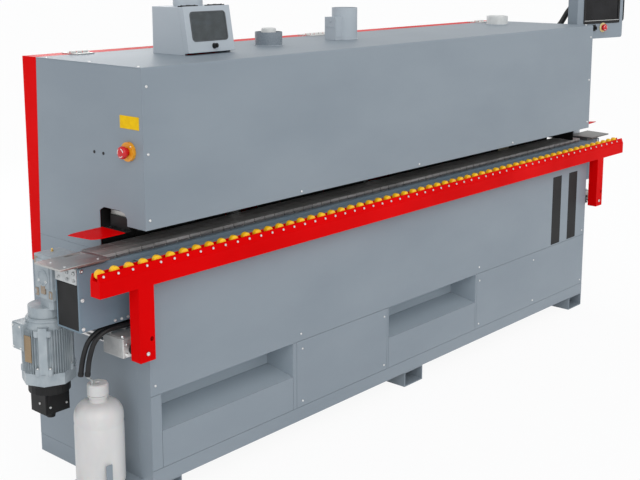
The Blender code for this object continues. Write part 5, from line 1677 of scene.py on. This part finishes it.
heater_bolts = [
    bolt((x, pot_low.y - 0.006, z), (0, -1, 0), 0.005, 14)
    for x in (pot_low.x + 0.026, pot_high.x - 0.026)
    for z in (pot_low.z + 0.03, pot_low.z + 0.09)
]
fit("heater_bolts", zinc, heater_bolts, "frame", "steel")
keep("glue_roller", zinc, 0.0015)
wheel_low, wheel_high = local("glue_roller")
wheel_x = (wheel_low.x + wheel_high.x) / 2
wheel_y = (wheel_low.y + wheel_high.y) / 2
knurl = []
tooth = [(0, 0), (0.001, 0.001), (0.001, 0.099), (0, 0.1)]
for x, y in circle_of(wheel_x, wheel_y, 0.0258, 36):
    spin(knurl, tooth, at(x, y, wheel_low.z + 0.04), (0, 0, 1), 6)
hub = [(0, 0), (0.012, 0), (0.012, 0.004), (0.006, 0.007), (0, 0.007)]
spin(knurl, hub, at(wheel_x, wheel_y, wheel_high.z), (0, 0, 1), 20)
fit("glue_knurl", zinc, knurl, "glue_roller", "steel")


# -- Trimming and buffing units --
# Each unit is a flanged motor with cooling fins and a terminal box. One drives a cutter with
# carbide teeth, the other a stitched cotton wheel that polishes the edge.
for node in ("trim_motor", "buffing_motor"):
    keep(node, motor_paint, 0.004)
    low, high = local(node)
    fins = []
    for i in range(11):
        z = low.z + 0.03 + i * 0.014
        slab(fins, (low.x - 0.0035, low.y + 0.014, z), (high.x + 0.0035, high.y - 0.014, z + 0.005))
    slab(
        fins,
        (low.x + 0.02, low.y + 0.03, high.z - 0.001),
        (high.x - 0.02, high.y - 0.04, high.z + 0.02),
    )
    fit(node + "_fins", motor_paint, fins, "frame", "motor_paint", bevel=0.001)
    spots = [
        (low.x + dx, low.y + dy, high.z + 0.02)
        for dx in (0.028, 0.082)
        for dy in (0.038, 0.102)
    ]
    spots = [bolt(spot, (0, 0, 1), 0.004, 14) for spot in spots]
    fit(node + "_screws", zinc, spots, "frame", "steel")
keep("trim_cutter", zinc, 0.0008)
low, high = local("trim_cutter")
tool_x = (low.x + high.x) / 2
tool_z = (low.z + high.z) / 2
teeth = []
for i in range(8):
    angle = 2 * math.pi * i / 8
    tooth = []
    for out, aside in ((0.023, -0.003), (0.0312, -0.003), (0.0304, 0.003), (0.023, 0.003)):
        x = tool_x + out * math.cos(angle) - aside * math.sin(angle)
        tooth.append((x, tool_z + out * math.sin(angle) + aside * math.cos(angle)))
    teeth.append((extrude_into, tooth, "Y", low.y - 0.0004, low.y + 0.0304))
hub = [(0, 0), (0.011, 0), (0.01, 0.003), (0, 0.003)]
spin(teeth, hub, at(tool_x, low.y, tool_z), (0, -1, 0), 6)
fit("cutter_teeth", chain_steel, teeth, "trim_cutter", "steel", bevel=0.0003)
cotton, add, shader = finish_of("cotton", 0.9, Sheen_Weight=0.4, Sheen_Roughness=0.5)
place = add("ShaderNodeTexCoord")["Object"]
colour, spread = blotched(add, place, ((0.5, 0.45, 0.32), (0.64, 0.59, 0.44)), 90.0)
connect(cotton, shader, "Base Color", colour)
layers = add("ShaderNodeMapping", {"Vector": place, "Scale": (0, 1, 0)})[0]
plies = add(
    "ShaderNodeTexWave", {"Vector": layers, "Scale": 320.0, "Distortion": 2.0}, bands_direction="Y"
)["Fac"]
dimpled(cotton, add, shader, plies, 0.5, 0.001)
keep("buffing_wheel", cotton, 0.002)
low, high = local("buffing_wheel")
wheel_x = (low.x + high.x) / 2
wheel_z = (low.z + high.z) / 2
discs = []
for i in range(6):
    y = low.y + 0.001 + i * 0.005
    ply = [(0, 0), (0.0604, 0), (0.0612, 0.0012), (0.0604, 0.0024), (0, 0.0024)]
    spin(discs, ply, at(wheel_x, y, wheel_z), (0, 1, 0), 48)
fit("buffing_plies", cotton, discs, "buffing_wheel", "cotton")
flange = [(0, -0.0002), (0.02, -0.0002), (0.019, 0.002), (0.008, 0.003), (0.008, 0.007), (0, 0.007)]
settle(
    turned("buffing_flange", flange, at(wheel_x, low.y, wheel_z), (0, -1, 0), zinc, 32),
    "buffing_wheel",
    "steel",
)
